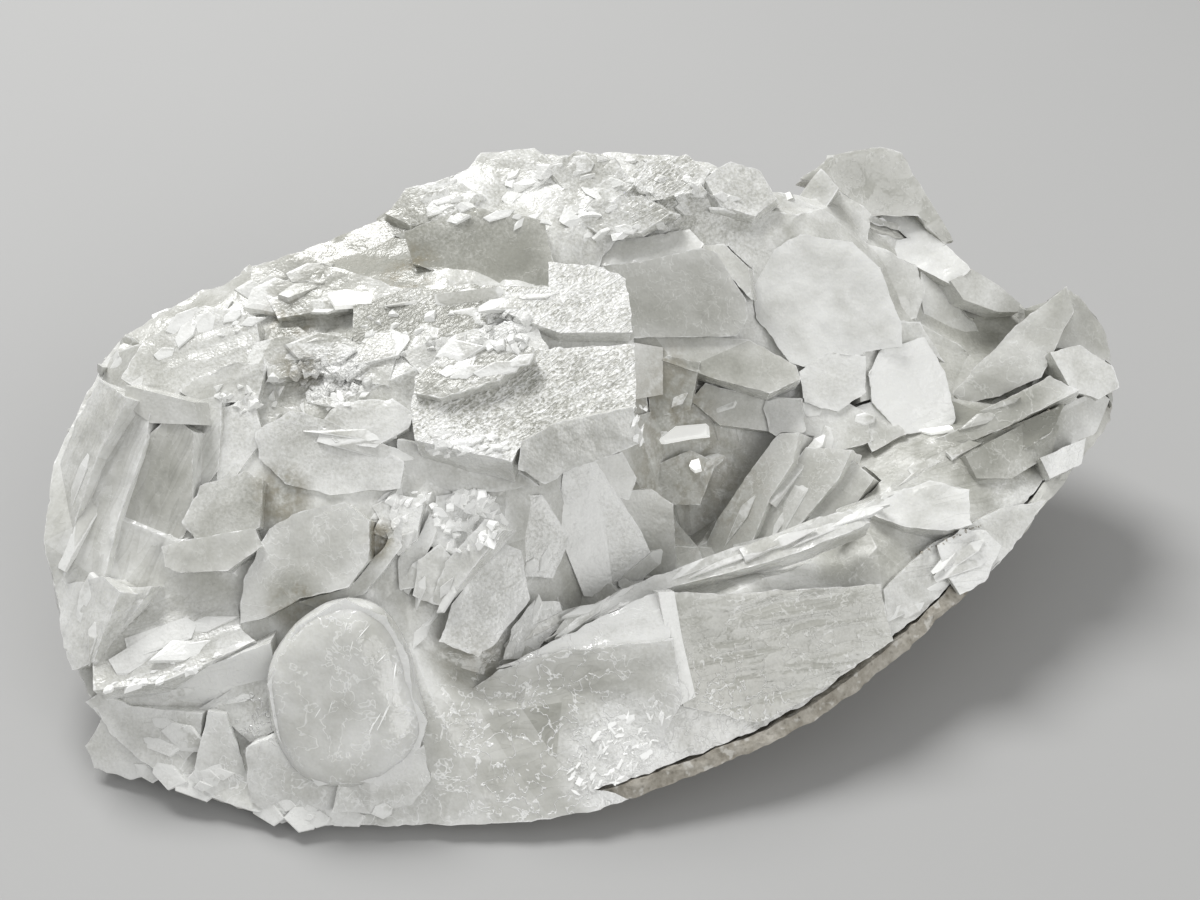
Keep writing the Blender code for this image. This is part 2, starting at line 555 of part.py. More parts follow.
def drawn_mesh(spec, heights, grow):
    """The closed solid of a crystal drawn on the sheet, whose sides draw in behind its face."""
    normal = compass(spec["facing"])
    count = len(spec["corners"])
    middle = [sum(corner[k] for corner in spec["corners"]) / count for k in (0, 1)]
    if isinstance(spec["at"], (int, float)):
        base = meets_top(*middle, heights) + spec["at"] * normal
    else:
        base = Vector(spec["at"])
    corners = []
    for right, down in spec["corners"]:
        eye, way = sight(right, down)
        corners.append(eye + way * ((base - eye).dot(normal) / way.dot(normal)))
    centre = sum(corners, Vector()) / count
    bm = bmesh.new()
    loops = []
    thickness = spec["thickness"]
    for lift, shrink in ((grow, 0), (-thickness - grow, DRAWN_TAPER * thickness)):
        loop = []
        for corner in corners:
            out = corner - centre
            reach = max(0.3 * out.length, out.length - shrink + 1.5 * grow)
            loop.append(bm.verts.new((centre + out.normalized() * reach + lift * normal) * MM))
        loops.append(loop)
    upper, lower = loops
    bm.faces.new(upper)
    bm.faces.new(reversed(lower))
    for j in range(count):
        k = (j + 1) % count
        bm.faces.new((upper[j], lower[j], lower[k], upper[k]))
    return finished(spec["name"], bm)


def crystal(spec, heights, grow=0.0):
    return drawn_mesh(spec, heights, grow) if "corners" in spec else plate_mesh(spec, grow)


def plate_outline(spec, grow):
    """The corners of a tabular crystal's face, along and across it."""
    chance = random.Random(f"{SEED} {spec['name']}")
    length, width = (side + 2 * grow for side in spec["size"][:2])
    cut = spec["cut"] * length
    lean = spec["lean"]
    if spec["sides"] == 10:
        turns = [math.radians(36 * k + 18) for k in range(10)]
        outline = [(length / 2 * math.cos(t), width / 2 * math.sin(t)) for t in turns]
    else:
        low, high = cut * (1 - 0.7 * lean), cut * (1 + 0.7 * lean)
        outline = [
            (-length / 2, lean * width / 2),
            (-length / 2 + high, -width / 2),
            (length / 2 - low, -width / 2),
            (length / 2, -lean * width / 2),
            (length / 2 - high, width / 2),
            (-length / 2 + low, width / 2),
        ]
    if spec["sides"] == 4:
        outline = [(x, y) for x, y in outline if abs(y) > 0.49 * width]
        outline = [(math.copysign(length / 2, x), y) for x, y in outline]
    shaken = []
    for x, y in outline:
        shaken.append((
            x + chance.uniform(-1, 1) * CORNER_JITTER * length / 2,
            y + chance.uniform(-1, 1) * CORNER_JITTER * width / 2,
        ))
    return shaken


def plate_mesh(spec, grow=0.0):
    """The closed solid of one tabular crystal, grown all over by so many millimetres."""
    outline = plate_outline(spec, grow)
    thickness = spec["size"][2] + 2 * grow
    normal = compass(spec["facing"])
    level = Vector((0, 0, 1)).cross(normal).normalized()
    along = Matrix.Rotation(math.radians(spec["spin"]), 3, normal) @ level
    across = normal.cross(along)
    outer = Vector(spec["at"]) + grow * normal
    bm = bmesh.new()
    loops = []
    for depth, scale in ((0, 1 - spec["slant"]), (GIRDLE_DEPTH, 1), (1, 1 - spec["slant"])):
        middle = outer - depth * thickness * normal
        points = [middle + scale * (x * along + y * across) for x, y in outline]
        loops.append([bm.verts.new(p * MM) for p in points])
    count = len(outline)
    bm.faces.new(loops[0])
    bm.faces.new(reversed(loops[-1]))
    for upper, lower in zip(loops, loops[1:]):
        for j in range(count):
            k = (j + 1) % count
            bm.faces.new((upper[j], lower[j], lower[k], upper[k]))
    return finished(spec["name"], bm)


def combine(base, others, operation):
    """The base after a Boolean with each of the others in turn, which are used up."""
    for other in others:
        modifier = base.modifiers.new("combine", "BOOLEAN")
        modifier.operation = operation
        modifier.object = other
        modifier.solver = "MANIFOLD"
        graph = bpy.context.evaluated_depsgraph_get()
        mesh = bpy.data.meshes.new_from_object(base.evaluated_get(graph))
        base.modifiers.clear()
        base.data = mesh
        bpy.data.objects.remove(other)
    return base


def keep_largest(part):
    """The part without the loose crumbs that cutting left, and with its slivers closed up."""
    bm = bmesh.new()
    bm.from_mesh(part.data)
    bmesh.ops.remove_doubles(bm, verts=bm.verts, dist=WELD * MM)
    bmesh.ops.dissolve_degenerate(bm, edges=bm.edges, dist=WELD / 2 * MM)
    left = set(bm.faces)
    groups = []
    while left:
        group = {left.pop()}
        edge_of_group = list(group)
        while edge_of_group:
            face = edge_of_group.pop()
            for edge in face.edges:
                for near in edge.link_faces:
                    if near in left:
                        left.discard(near)
                        group.add(near)
                        edge_of_group.append(near)
        groups.append(group)
    groups.sort(key=lambda group: sum(face.calc_area() for face in group))
    crumbs = [face for group in groups[:-1] for face in group]
    bmesh.ops.delete(bm, geom=crumbs, context="FACES")
    bmesh.ops.dissolve_limit(bm, angle_limit=math.radians(FLAT_DEG), verts=bm.verts, edges=bm.edges)
    bmesh.ops.triangulate(bm, faces=bm.faces)
    bm.to_mesh(part.data)
    bm.free()
    return part


def material(name, colour, roughness):
    made = bpy.data.materials.new(name)
    made.use_nodes = True
    surface = made.node_tree.nodes["Principled BSDF"]
    surface.inputs["Base Color"].default_value = (*colour, 1)
    surface.inputs["Roughness"].default_value = roughness
    return made


def dress(part, finish):
    part.data.materials.clear()
    part.data.materials.append(finish)


def build_rind():
    skin = rind_rings()
    inner = inset(skin, RIND_THICKNESS)
    rings = np.concatenate([skin, inner[::-1]])
    return closed_mesh("host_rock_rind", rings, (0, 0, 0), (0, 0, RIND_THICKNESS))


def rind_clearance():
    """The room that the rind takes, with the gap all round it."""
    skin = rind_rings()
    outside = inset(skin, -CLEARANCE_REACH)
    outside[:, :, 2] = np.minimum(outside[:, :, 2], skin[:, :, 2])
    inside = inset(skin, RIND_THICKNESS + PIECE_GAP)
    lift = np.array([0, 0, PIECE_GAP])
    up_way = skin[-1] - skin[-2]
    up_way *= PIECE_GAP / np.linalg.norm(up_way, axis=1, keepdims=True)
    lips = np.array([outside[-1] + up_way + lift, inside[-1] + up_way + lift])
    rings = np.concatenate([outside, lips, inside[::-1]])
    low = (0, 0, -CLEARANCE_REACH)
    return closed_mesh("rind clearance", rings, low, (0, 0, RIND_THICKNESS + PIECE_GAP))


def below_foot():
    """All that lies lower than the calcite may reach, so that the specimen stands on its rind."""
    low = [(100 * math.cos(t), 100 * math.sin(t), -20) for t in np.radians(np.arange(0, 360, 45))]
    high = [(x, y, CALCITE_FOOT) for x, y, _ in low]
    return closed_mesh("below the foot", np.array([low, high]), (0, 0, -20), (0, 0, CALCITE_FOOT))


def lining(heights, gap):
    """The layer that the hollow's crystals stand on, grown by a gap."""
    turns = np.arange(LINING_SPOKES) * 360.0 / LINING_SPOKES
    edge = np.array(LINING_EDGE, float)
    reach = smooth_loop(edge[:, 0], edge[:, 1], turns) + gap
    turn = np.radians(turns)
    middle = np.array(HOLLOW_MIDDLE, float)
    flat = [
        middle + share * reach[:, None] * np.column_stack([np.cos(turn), np.sin(turn)])
        for share in np.linspace(1, 0, LINING_RINGS + 1)[:-1]
    ]
    rise, depth = LINING_RISE + 2 * gap, LINING_DEPTH + 2 * gap
    upper, lower = [], []
    for plan in flat:
        z = heights.at(plan)
        bumps = np.array([noise.cell(Vector((*p, SEED)) / LINING_GRAIN) - 0.5 for p in plan])
        upper.append(np.column_stack([plan, z + rise + LINING_ROUGHNESS * bumps]))
        lower.append(np.column_stack([plan, z - depth]))
    centre = float(heights.at(middle[None])[0])
    rings = np.array(lower[::-1] + upper)
    return closed_mesh("lining", rings, (*middle, centre - depth), (*middle, centre + rise))


def build_crust(heights):
    crust = lining(heights, 0)
    crust.name = "hollow_crystal_crust"
    return keep_largest(combine(crust, [crystal(spec, heights) for spec in HOLLOW_CRYSTALS], "UNION"))


def build_mass(skin):
    top, heights = top_rings(skin[-1])
    middle = (0, 0, float(heights.at(np.zeros((1, 2)))[0]))
    mass = closed_mesh("calcite_mass", np.concatenate([skin, top[1:]]), (0, 0, 0), middle)
    grown = BACK_CLUSTER + RIGHT_END + MOUND_PLATES + LEFT_BLADES + FRONT_PLATES + RIDGE_PLATES + REAR_PLATES
    combine(mass, [crystal(spec, heights) for spec in grown], "UNION")
    room = [crystal(spec, heights, PIECE_GAP) for spec in HOLLOW_CRYSTALS]
    combine(mass, [below_foot(), rind_clearance(), lining(heights, PIECE_GAP)] + room, "DIFFERENCE")
    return keep_largest(mass), heights


def centre(parts):
    """Move the parts together: the middle of their box to the origin, and their lowest point to zero."""
    points = np.array([v.co for part in parts for v in part.data.vertices])
    low, high = points.min(axis=0), points.max(axis=0)
    shift = Matrix.Translation((-(low[0] + high[0]) / 2, -(low[1] + high[1]) / 2, -low[2]))
    for part in parts:
        part.data.transform(shift)


def main():
    for old in list(bpy.data.objects):
        bpy.data.objects.remove(old)
    rind = build_rind()
    mass, heights = build_mass(skin_rings())
    crust = build_crust(heights)
    centre([rind, mass, crust])
    dress(rind, material("host rock", (0.36, 0.33, 0.26), 0.85))
    dress(mass, material("white calcite", (0.86, 0.86, 0.84), 0.35))
    dress(crust, material("grey calcite", (0.78, 0.77, 0.72), 0.3))


main()
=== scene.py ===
"""The looks of a calcite specimen: its host rock rind, its calcite and the crystals that line its hollow.

Lengths in the tables are in millimetres. +X runs along the specimen, -Y is its front and +Z is up.
"""

import math
import random

import bmesh
import bpy
import numpy as np
from mathutils import Matrix, Vector
from mathutils.bvhtree import BVHTree
from mathutils.kdtree import KDTree


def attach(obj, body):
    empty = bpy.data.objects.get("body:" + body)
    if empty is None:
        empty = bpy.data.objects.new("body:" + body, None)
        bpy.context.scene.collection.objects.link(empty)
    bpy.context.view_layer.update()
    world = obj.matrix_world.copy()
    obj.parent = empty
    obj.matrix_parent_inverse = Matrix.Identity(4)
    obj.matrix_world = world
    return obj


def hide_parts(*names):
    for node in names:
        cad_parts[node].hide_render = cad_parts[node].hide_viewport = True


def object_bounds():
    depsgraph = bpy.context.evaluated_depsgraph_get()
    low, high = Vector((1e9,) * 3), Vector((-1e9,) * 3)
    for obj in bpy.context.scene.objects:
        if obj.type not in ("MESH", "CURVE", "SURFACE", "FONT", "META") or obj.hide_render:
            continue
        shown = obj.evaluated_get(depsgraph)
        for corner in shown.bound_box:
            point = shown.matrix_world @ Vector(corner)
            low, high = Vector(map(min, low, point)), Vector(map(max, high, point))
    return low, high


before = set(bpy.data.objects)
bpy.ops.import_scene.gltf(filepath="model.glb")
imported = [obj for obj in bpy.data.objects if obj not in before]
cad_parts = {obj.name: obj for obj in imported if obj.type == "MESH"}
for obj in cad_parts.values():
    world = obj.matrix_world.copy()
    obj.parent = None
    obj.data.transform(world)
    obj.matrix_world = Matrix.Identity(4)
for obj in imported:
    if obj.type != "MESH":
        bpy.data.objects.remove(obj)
cad_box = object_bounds()

MM = 0.001
SEED = 17

# How the specimen is looked at: from the front, from above, through a 57 mm lens.
VIEW_HEIGHT_DEG = 38
VIEW_DISTANCE = 264
VIEW_CENTRE = (-0.96, -0.46, 25)
LENS = 57
SENSOR_WIDTH = 36

# The view's own directions. A place in the view is so many units from its left and top edges, of 1200 by 900.
VIEW_SIZE = (1200, 900)
VIEW_RIGHT = Vector((1, 0, 0))
VIEW_UP = Vector((0, math.sin(math.radians(VIEW_HEIGHT_DEG)), math.cos(math.radians(VIEW_HEIGHT_DEG))))
VIEW_BACK = VIEW_RIGHT.cross(VIEW_UP)
EYE = (Vector(VIEW_CENTRE) + VIEW_BACK * VIEW_DISTANCE) * MM

# Where the main light stands, in metres.
KEY_AT = (-0.25, 0.32, 0.7)

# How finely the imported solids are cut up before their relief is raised: where it shows most, and elsewhere.
BODY_EDGE = (0.95, 1.9)
CRUST_EDGE = (0.85, 1.5)
RIND_EDGE = (1.3, 1.8)

# From which angle an edge is sharp, up to which one it is shaded smooth, and how far its chipping reaches
# in mm.
SHARP_DEG = 24
SMOOTH_DEG = 26
CHIPPED_REACH = 0.8

# The relief's smallest steps: doubles closer than this in metres, facets flatter than this in degrees, the
# rounds of cutting, and the spacing of points along sharp edges and the farthest that they matter, in mm.
DOUBLES = 0.00002
FLAT_DEG = 1.5
CUT_ROUNDS = (10, 5, 2.6, 1.4, 1)
LINE_SPACING = 0.4
FARTHEST_EDGE = 5.0

# How much the tone of faces and crystals varies by chance, and how far the inside of a crystal's face
# counts as being from its edges, as a share of its width.
TONE_SPREAD = 0.07
INSIDE_SHARE = 0.12


# ---------------------------------------------------------------- the modelled crystals


def deselect():
    if bpy.context.mode != "OBJECT":
        bpy.ops.object.mode_set(mode="OBJECT")
    bpy.ops.object.select_all(action="DESELECT")


def only(made):
    """Select one object, alone."""
    deselect()
    made.select_set(True)
    bpy.context.view_layer.objects.active = made


def store(made, name, values, domain="POINT"):
    """Give each point or face a number, under a name."""
    made.data.attributes.new(name, "FLOAT", domain).data.foreach_set("value", values)


def begin(name):
    """The primitive that was just added, named and open for editing with nothing selected."""
    made = bpy.context.object
    made.name = name
    made.data.name = name
    bpy.ops.object.mode_set(mode="EDIT")
    bpy.ops.mesh.select_all(action="DESELECT")
    return made


def pick(made, kind, test=lambda item: True):
    """Select only the vertices, edges or faces that pass a test."""
    bpy.ops.mesh.select_mode(type={"verts": "VERT", "edges": "EDGE", "faces": "FACE"}[kind])
    bpy.ops.mesh.select_all(action="DESELECT")
    bm = bmesh.from_edit_mesh(made.data)
    for item in getattr(bm, kind):
        if test(item):
            item.select_set(True)
    bm.select_flush_mode()
    bmesh.update_edit_mesh(made.data)


def push(x=0.0, y=0.0, z=0.0):
    bpy.ops.transform.translate(value=(x, y, z))


def extrude(x=0.0, y=0.0, z=0.0):
    bpy.ops.mesh.extrude_region_move(TRANSFORM_OT_translate={"value": (x, y, z)})


def stretch(x=1.0, y=1.0, z=1.0, about=(0, 0, 0)):
    bpy.ops.transform.resize(value=(x, y, z), center_override=about)


def break_off(made, at, way):
    """Break off what lies beyond a plane."""
    pick(made, "faces")
    bpy.ops.mesh.bisect(plane_co=at, plane_no=way, clear_outer=True, use_fill=True)


def faces_up(face):
    return face.normal.z > 0.9


def end(made):
    bpy.ops.object.mode_set(mode="OBJECT")
    deselect()
    return made


def end_crystal(made, inside):
    """Close a crystal with its highest point at z = 0, and store how far each point is from its edges."""
    pick(made, "verts")
    push(z=-max(v.co.z for v in bmesh.from_edit_mesh(made.data).verts))
    end(made)
    store(made, "from_edge", [INSIDE_SHARE if inside(v.co) else 0.0 for v in made.data.vertices])
    return made


def blade(name, point, broken):
    """A blade one unit long with a pointed end, a broken end and a low ridge along it."""
    deselect()
    bpy.ops.mesh.primitive_cube_add(size=1)
    made = begin(name)
    pick(made, "faces", lambda f: f.normal.x > 0.9)
    extrude(point)
    stretch(1, 0.15, 0.5, about=(0.5 + point, 0.1, -0.2))
    pick(made, "verts")
    stretch(1 / (1 + point), 1, 1, about=(-0.5, 0, 0))
    break_off(made, (-0.5 + broken * 0.5, 0, 0), (-1, broken, 0.3))
    pick(made, "faces", faces_up)
    bpy.ops.mesh.inset(thickness=0.07)
    push(0, 0.06, 0.12)
    return end_crystal(made, lambda co: co.z > -0.05)


def cleavage_chip(name, skew, turn):
    """A chip bounded by cleavage planes: a leaning block with one corner broken off."""
    deselect()
    bpy.ops.mesh.primitive_cube_add(size=1)
    made = begin(name)
    pick(made, "faces", faces_up)
    push(skew, skew * turn, 0)
    pick(made, "faces", lambda f: f.normal.x > 0.5)
    push(0, 0.2 * turn, 0)
    break_off(made, (0.3, 0.25, 0.1), (1, 0.8 * turn, 0.5))
    break_off(made, (-0.35, -0.2, 0.2), (-1, 0.3, 0.9))
    return end_crystal(made, lambda co: False)


def flake(name, sides, seed):
    """A thin broken flake with an uneven outline and one raised step."""
    deselect()
    bpy.ops.mesh.primitive_circle_add(vertices=sides, radius=0.5, fill_type="NGON")
    made = begin(name)
    pick(made, "verts")
    bpy.ops.transform.vertex_random(offset=0.12, uniform=0.9, normal=0.0, seed=seed)
    pick(made, "faces")
    extrude(z=0.5)
    stretch(0.95, 0.95)
    bpy.ops.mesh.inset(thickness=0.09)
    push(0.03, 0.04, 0.12)
    pick(made, "faces", lambda f: f.normal.z < -0.9)
    extrude(z=-0.5)
    return end_crystal(made, lambda co: co.z > -0.05)


def templates():
    """The crystals that are copied, by kind."""
    return {
        "blade": [
            blade("blade_long", 0.25, 0.3), blade("blade_blunt", 0.12, -0.5), blade("blade_sharp", 0.4, 0.7),
        ],
        "chip": [cleavage_chip("chip_right", 0.3, 1), cleavage_chip("chip_left", 0.3, -1)],
        "flake": [
            flake("flake_one", 5, 3), flake("flake_two", 6, 11), flake("flake_three", 4, 29),
            flake("flake_four", 5, 5),
        ],
    }


# ---------------------------------------------------------------- places in the view


# How squarely a face has to look at the view for ways within it to be read from the view.
LEAST_FACING = 0.2


def compass(azimuth, elevation):
    a, e = math.radians(azimuth), math.radians(elevation)
    return Vector((math.cos(e) * math.cos(a), math.cos(e) * math.sin(a), math.sin(e)))


def sight(across, down):
    """The way from the eye through a place of the view."""
    width, height = VIEW_SIZE
    reach = width * LENS / SENSOR_WIDTH
    way = VIEW_RIGHT * (across - width / 2) + VIEW_UP * (height / 2 - down) - VIEW_BACK * reach
    return way.normalized()


def seen(surface, across, down):
    """What is seen at a place of the view: its point, and the way that the surface faces there."""
    point, normal, _, _ = surface.ray_cast(EYE, sight(across, down))
    return point, normal


def running(normal, angle):
    """The way within a face that looks turned by an angle in the view, anticlockwise from the right."""
    a = math.radians(angle)
    way = VIEW_RIGHT * math.cos(a) + VIEW_UP * math.sin(a)
    facing = VIEW_BACK.dot(normal)
    if abs(facing) < LEAST_FACING:
        facing = LEAST_FACING
    way = way - VIEW_BACK * (way.dot(normal) / facing)
    return (way - normal * way.dot(normal)).normalized()


def ground(*pieces):
    """What crystals can stand on: the surfaces of some pieces, together."""
    points, corners = [], []
    for piece in pieces:
        start = len(points)
        points += [v.co.copy() for v in piece.data.vertices]
        corners += [[start + k for k in p.vertices] for p in piece.data.polygons]
    return BVHTree.FromPolygons(points, corners)


# ---------------------------------------------------------------- where crystals sit


def spread(
    piece, kinds, at, facing, reach, count, length, aspect=(0.3, 0.5), thick=(0.15, 0.3), spin=0, wobble=10,
    tilt=8, sink=0.7, follow=0.6, tone=0.0,
):
    """A patch of crystals: the piece that they join, the middle of the patch, the way that it faces
    (azimuth and elevation), how far it reaches each way, and how many stand on it. Length is in mm; aspect
    and thickness are shares of it. Spin is the way that they run, wobble how much it varies, tilt how
    unevenly they face, sink how deep they sit, follow how closely they lie to what is under them, and tone
    how white they are."""
    return dict(locals())


def strewn(
    piece, kinds, middle, reach, count, length, run, aspect=(0.3, 0.5), thick=(0.15, 0.3), slant=0, wobble=8,
    tilt=3, proud=(0.06, 0.26), follow=0.95, tone=0.0,
):
    """A patch of crystals on what is seen: its middle and its reach are in the view's units, slant turns
    it, and run is the way that the crystals run, as it looks in the view. Proud is how far they stand out,
    in mm."""
    return dict(locals())


def crumbs(piece, kinds, *where, wobble=60, **more):
    """Crumbs on what is seen: nearly as thick as they are long, and lying every way."""
    return strewn(piece, kinds, *where, (0.5, 0.9), (0.3, 0.6), wobble=wobble, **more)


def sparkle(kinds, *where, aspect=(0.3, 0.6), tilt=18, proud=(0.1, 0.35), follow=0.6, **more):
    """Small clean chips along a broken edge."""
    more = dict(tilt=tilt, proud=proud, follow=follow, tone=0.2, **more)
    return strewn("edge_sparkle", kinds, *where, aspect, (0.2, 0.4), **more)


SEEN_PATCHES = [
    # the long blades of the left end
    strewn("left_blades", "blade", (98, 480), (18, 76), 2, (9, 18), 66, (0.12, 0.2), (0.05, 0.08), slant=-24,
        wobble=3, tilt=2),
    strewn("left_blades", "blade flake", (84, 610), (16, 40), 2, (4, 8), 74, (0.2, 0.4), (0.06, 0.1)),
    strewn("left_flakes", "flake", (210, 335), (58, 30), 7, (2, 5), 34, (0.35, 0.65), (0.06, 0.12), slant=25,
        wobble=12, tone=0.12),
    strewn("left_flakes", "flake", (122, 385), (24, 34), 4, (2, 5), 50, (0.35, 0.65), (0.06, 0.12),
        wobble=14, tone=0.1),
    # the mound's slabs, flakes and crumbs
    strewn("mound_flakes", "flake", (300, 292), (56, 22), 9, (3, 9), 14, (0.3, 0.6), (0.06, 0.12), wobble=10,
        tone=-0.12),
    strewn("mound_flakes", "flake blade", (330, 345), (70, 28), 12, (3, 10), 6, (0.2, 0.5), (0.05, 0.1),
        tone=-0.12),
    strewn("mound_flakes", "flake blade", (450, 300), (90, 16), 6, (4, 12), 3, (0.15, 0.35), (0.04, 0.08),
        wobble=5, tone=-0.16),
    strewn("mound_flakes", "blade", (350, 425), (66, 20), 5, (5, 13), -14, (0.1, 0.18), (0.04, 0.06),
        slant=-18, wobble=5),
    strewn("mound_flakes", "flake", (470, 368), (56, 18), 7, (3, 8), 18, (0.3, 0.6), (0.06, 0.12), wobble=9),
    strewn("mound_flakes", "flake chip", (462, 442), (50, 12), 11, (1.5, 5), 12, (0.3, 0.6), (0.1, 0.2),
        wobble=14, tilt=8, tone=0.16),
    crumbs("mound_crumbs", "chip flake", (330, 378), (38, 22), 42, (0.9, 2.6), 10, tilt=16, proud=(0.2, 0.7),
        tone=0.16),
    crumbs("mound_crumbs", "chip flake", (505, 330), (32, 20), 35, (0.9, 2.4), 10, tilt=16, proud=(0.2, 0.7),
        tone=0.16),
    crumbs("mound_crumbs", "chip", (420, 332), (60, 26), 21, (0.8, 1.8), 10, tilt=14, proud=(0.15, 0.5),
        tone=0.08),
    crumbs("mound_crumbs", "chip", (260, 395), (50, 24), 24, (0.8, 2.2), 10, tilt=14, proud=(0.15, 0.5),
        tone=0.1),
    # the crusty ridge behind
    strewn("ridge_flakes", "flake chip", (470, 195), (76, 20), 14, (1.5, 5), 26, (0.35, 0.65), (0.08, 0.16),
        slant=16, wobble=16, tilt=8, tone=-0.06),
    strewn("ridge_flakes", "flake chip", (600, 176), (96, 18), 18, (1.5, 5), 2, (0.35, 0.65), (0.08, 0.16),
        wobble=18, tilt=8, tone=-0.04),
    strewn("ridge_flakes", "flake chip", (690, 195), (52, 16), 12, (1.5, 5), -14, (0.35, 0.65), (0.08, 0.16),
        slant=-10, wobble=18, tilt=8, tone=-0.06),
    strewn("ridge_flakes", "flake chip", (590, 222), (100, 16), 16, (1.5, 5), 8, (0.3, 0.6), (0.08, 0.16),
        wobble=16, tilt=8, tone=0.08),
    # the right end
    strewn("right_chips", "blade flake", (1000, 408), (50, 8), 3, (4, 12), 24, (0.12, 0.26), (0.06, 0.1),
        slant=24, wobble=5),
    strewn("right_chips", "blade", (930, 470), (66, 12), 4, (5, 12), 24, (0.1, 0.2), (0.05, 0.08), slant=26,
        wobble=4),
    # the front wall: its crest, its streaky right face, its glassy left one and the sparkle on it
    strewn("lip_slivers", "blade", (800, 530), (104, 10), 10, (6, 16), 20, (0.08, 0.14), (0.04, 0.07),
        slant=20, wobble=3, tilt=4),
    strewn("lip_slivers", "blade flake", (606, 598), (76, 10), 8, (4, 12), 28, (0.1, 0.22), (0.05, 0.09),
        slant=26, wobble=5, tilt=5),
    strewn("wall_blades", "blade flake", (935, 578), (54, 22), 6, (4, 10), 24, (0.15, 0.3), (0.05, 0.09),
        slant=36, wobble=7, tilt=4),
    strewn("wall_sparkle", "flake blade", (618, 750), (64, 27), 90, (0.4, 2.0), 44, (0.14, 0.4),
        (0.04, 0.08), slant=42, wobble=30, tilt=12, follow=0.8, proud=(0.02, 0.1), tone=0.3),
    # the lower left: the bright slope, what is under it, and the ragged foot
    strewn("slope_flakes", "flake blade", (172, 650), (70, 20), 5, (4, 12), 18, (0.2, 0.4), (0.04, 0.08),
        slant=18, wobble=7, tone=0.12),
    strewn("slope_flakes", "blade flake", (185, 698), (60, 10), 3, (4, 9), 12, (0.2, 0.4), (0.05, 0.09)),
    strewn("foot_chips", "flake", (140, 735), (46, 22), 3, (3, 9), -12, (0.3, 0.5), (0.05, 0.09), wobble=12),
    strewn("foot_chips", "flake", (195, 776), (56, 12), 10, (2, 6), -14, (0.35, 0.65), (0.05, 0.1),
        wobble=16, tilt=4),
    strewn("foot_chips", "flake", (320, 812), (80, 9), 14, (2, 5), -4, (0.35, 0.65), (0.05, 0.1), wobble=14,
        tilt=4),
    strewn("lens_scratches", "blade", (352, 680), (46, 62), 10, (1.2, 3.6), 58, (0.04, 0.09), (0.03, 0.05),
        wobble=12, tilt=2, proud=(0.04, 0.1), tone=0.4),
    # the middle: curled sugary plates, sparkling grain, and the gaps between the tablets
    strewn("centre_flakes", "flake chip", (396, 520), (28, 32), 12, (1.5, 5), 55, (0.35, 0.65), (0.1, 0.2),
        wobble=24, tilt=12, tone=0.14),
    crumbs("centre_crumbs", "chip flake", (468, 522), (36, 30), 64, (0.8, 2.2), 30, tilt=16,
        proud=(0.15, 0.5), tone=0.16),
    strewn("centre_flakes", "flake blade", (430, 605), (24, 44), 6, (2.5, 7), 62, (0.25, 0.45), (0.06, 0.12),
        wobble=10, tilt=7),
    strewn("centre_flakes", "flake", (545, 585), (22, 30), 3, (2.5, 6), 58, (0.3, 0.5), (0.06, 0.12),
        wobble=12),
    # small clean chips that catch the light along broken edges, with a painted glow in their finish
    sparkle("chip flake", (462, 446), (48, 9), 26, (0.8, 2.4), 14, slant=8, wobble=14),
    sparkle("chip flake", (335, 395), (30, 18), 14, (0.7, 2.0), 30, wobble=40, tilt=20, proud=(0.1, 0.4)),
    sparkle("chip", (498, 322), (26, 14), 16, (0.7, 1.8), 20, wobble=40, tilt=20, proud=(0.1, 0.4)),
    sparkle("chip flake", (415, 505), (24, 14), 18, (0.7, 2.0), 40, wobble=30),
    sparkle("chip flake", (165, 672), (60, 9), 22, (0.8, 2.4), 18, aspect=(0.3, 0.5), slant=16, wobble=10,
        tilt=14, follow=0.7, proud=(0.06, 0.25)),
    sparkle("chip flake", (640, 405), (7, 40), 14, (0.7, 1.8), 80, wobble=20),
    sparkle("chip flake", (205, 330), (50, 22), 9, (0.7, 1.8), 34, slant=25, wobble=24, tilt=16, follow=0.7,
        proud=(0.06, 0.3)),
    # dark grains along two old cracks at the right
    crumbs("crack_specks", "chip", (1032, 417), (38, 1.5), 30, (0.25, 0.6), 24, slant=24, wobble=40,
        proud=(0.02, 0.1)),
    crumbs("crack_specks", "chip", (948, 540), (46, 1.5), 34, (0.25, 0.6), 25, slant=25, wobble=40,
        proud=(0.02, 0.1)),
    # the hollow
    strewn("hollow_blades", "blade", (760, 500), (56, 36), 4, (5, 13), 53, (0.12, 0.22), (0.05, 0.08),
        slant=50, wobble=4),
    strewn("hollow_blades", "flake chip", (700, 430), (46, 36), 6, (2, 6), 20, (0.3, 0.5), (0.1, 0.2),
        wobble=40, tilt=10),
    strewn("hollow_blades", "flake", (830, 420), (36, 22), 4, (2, 6), 30, (0.3, 0.5), (0.08, 0.16),
        wobble=24),
]

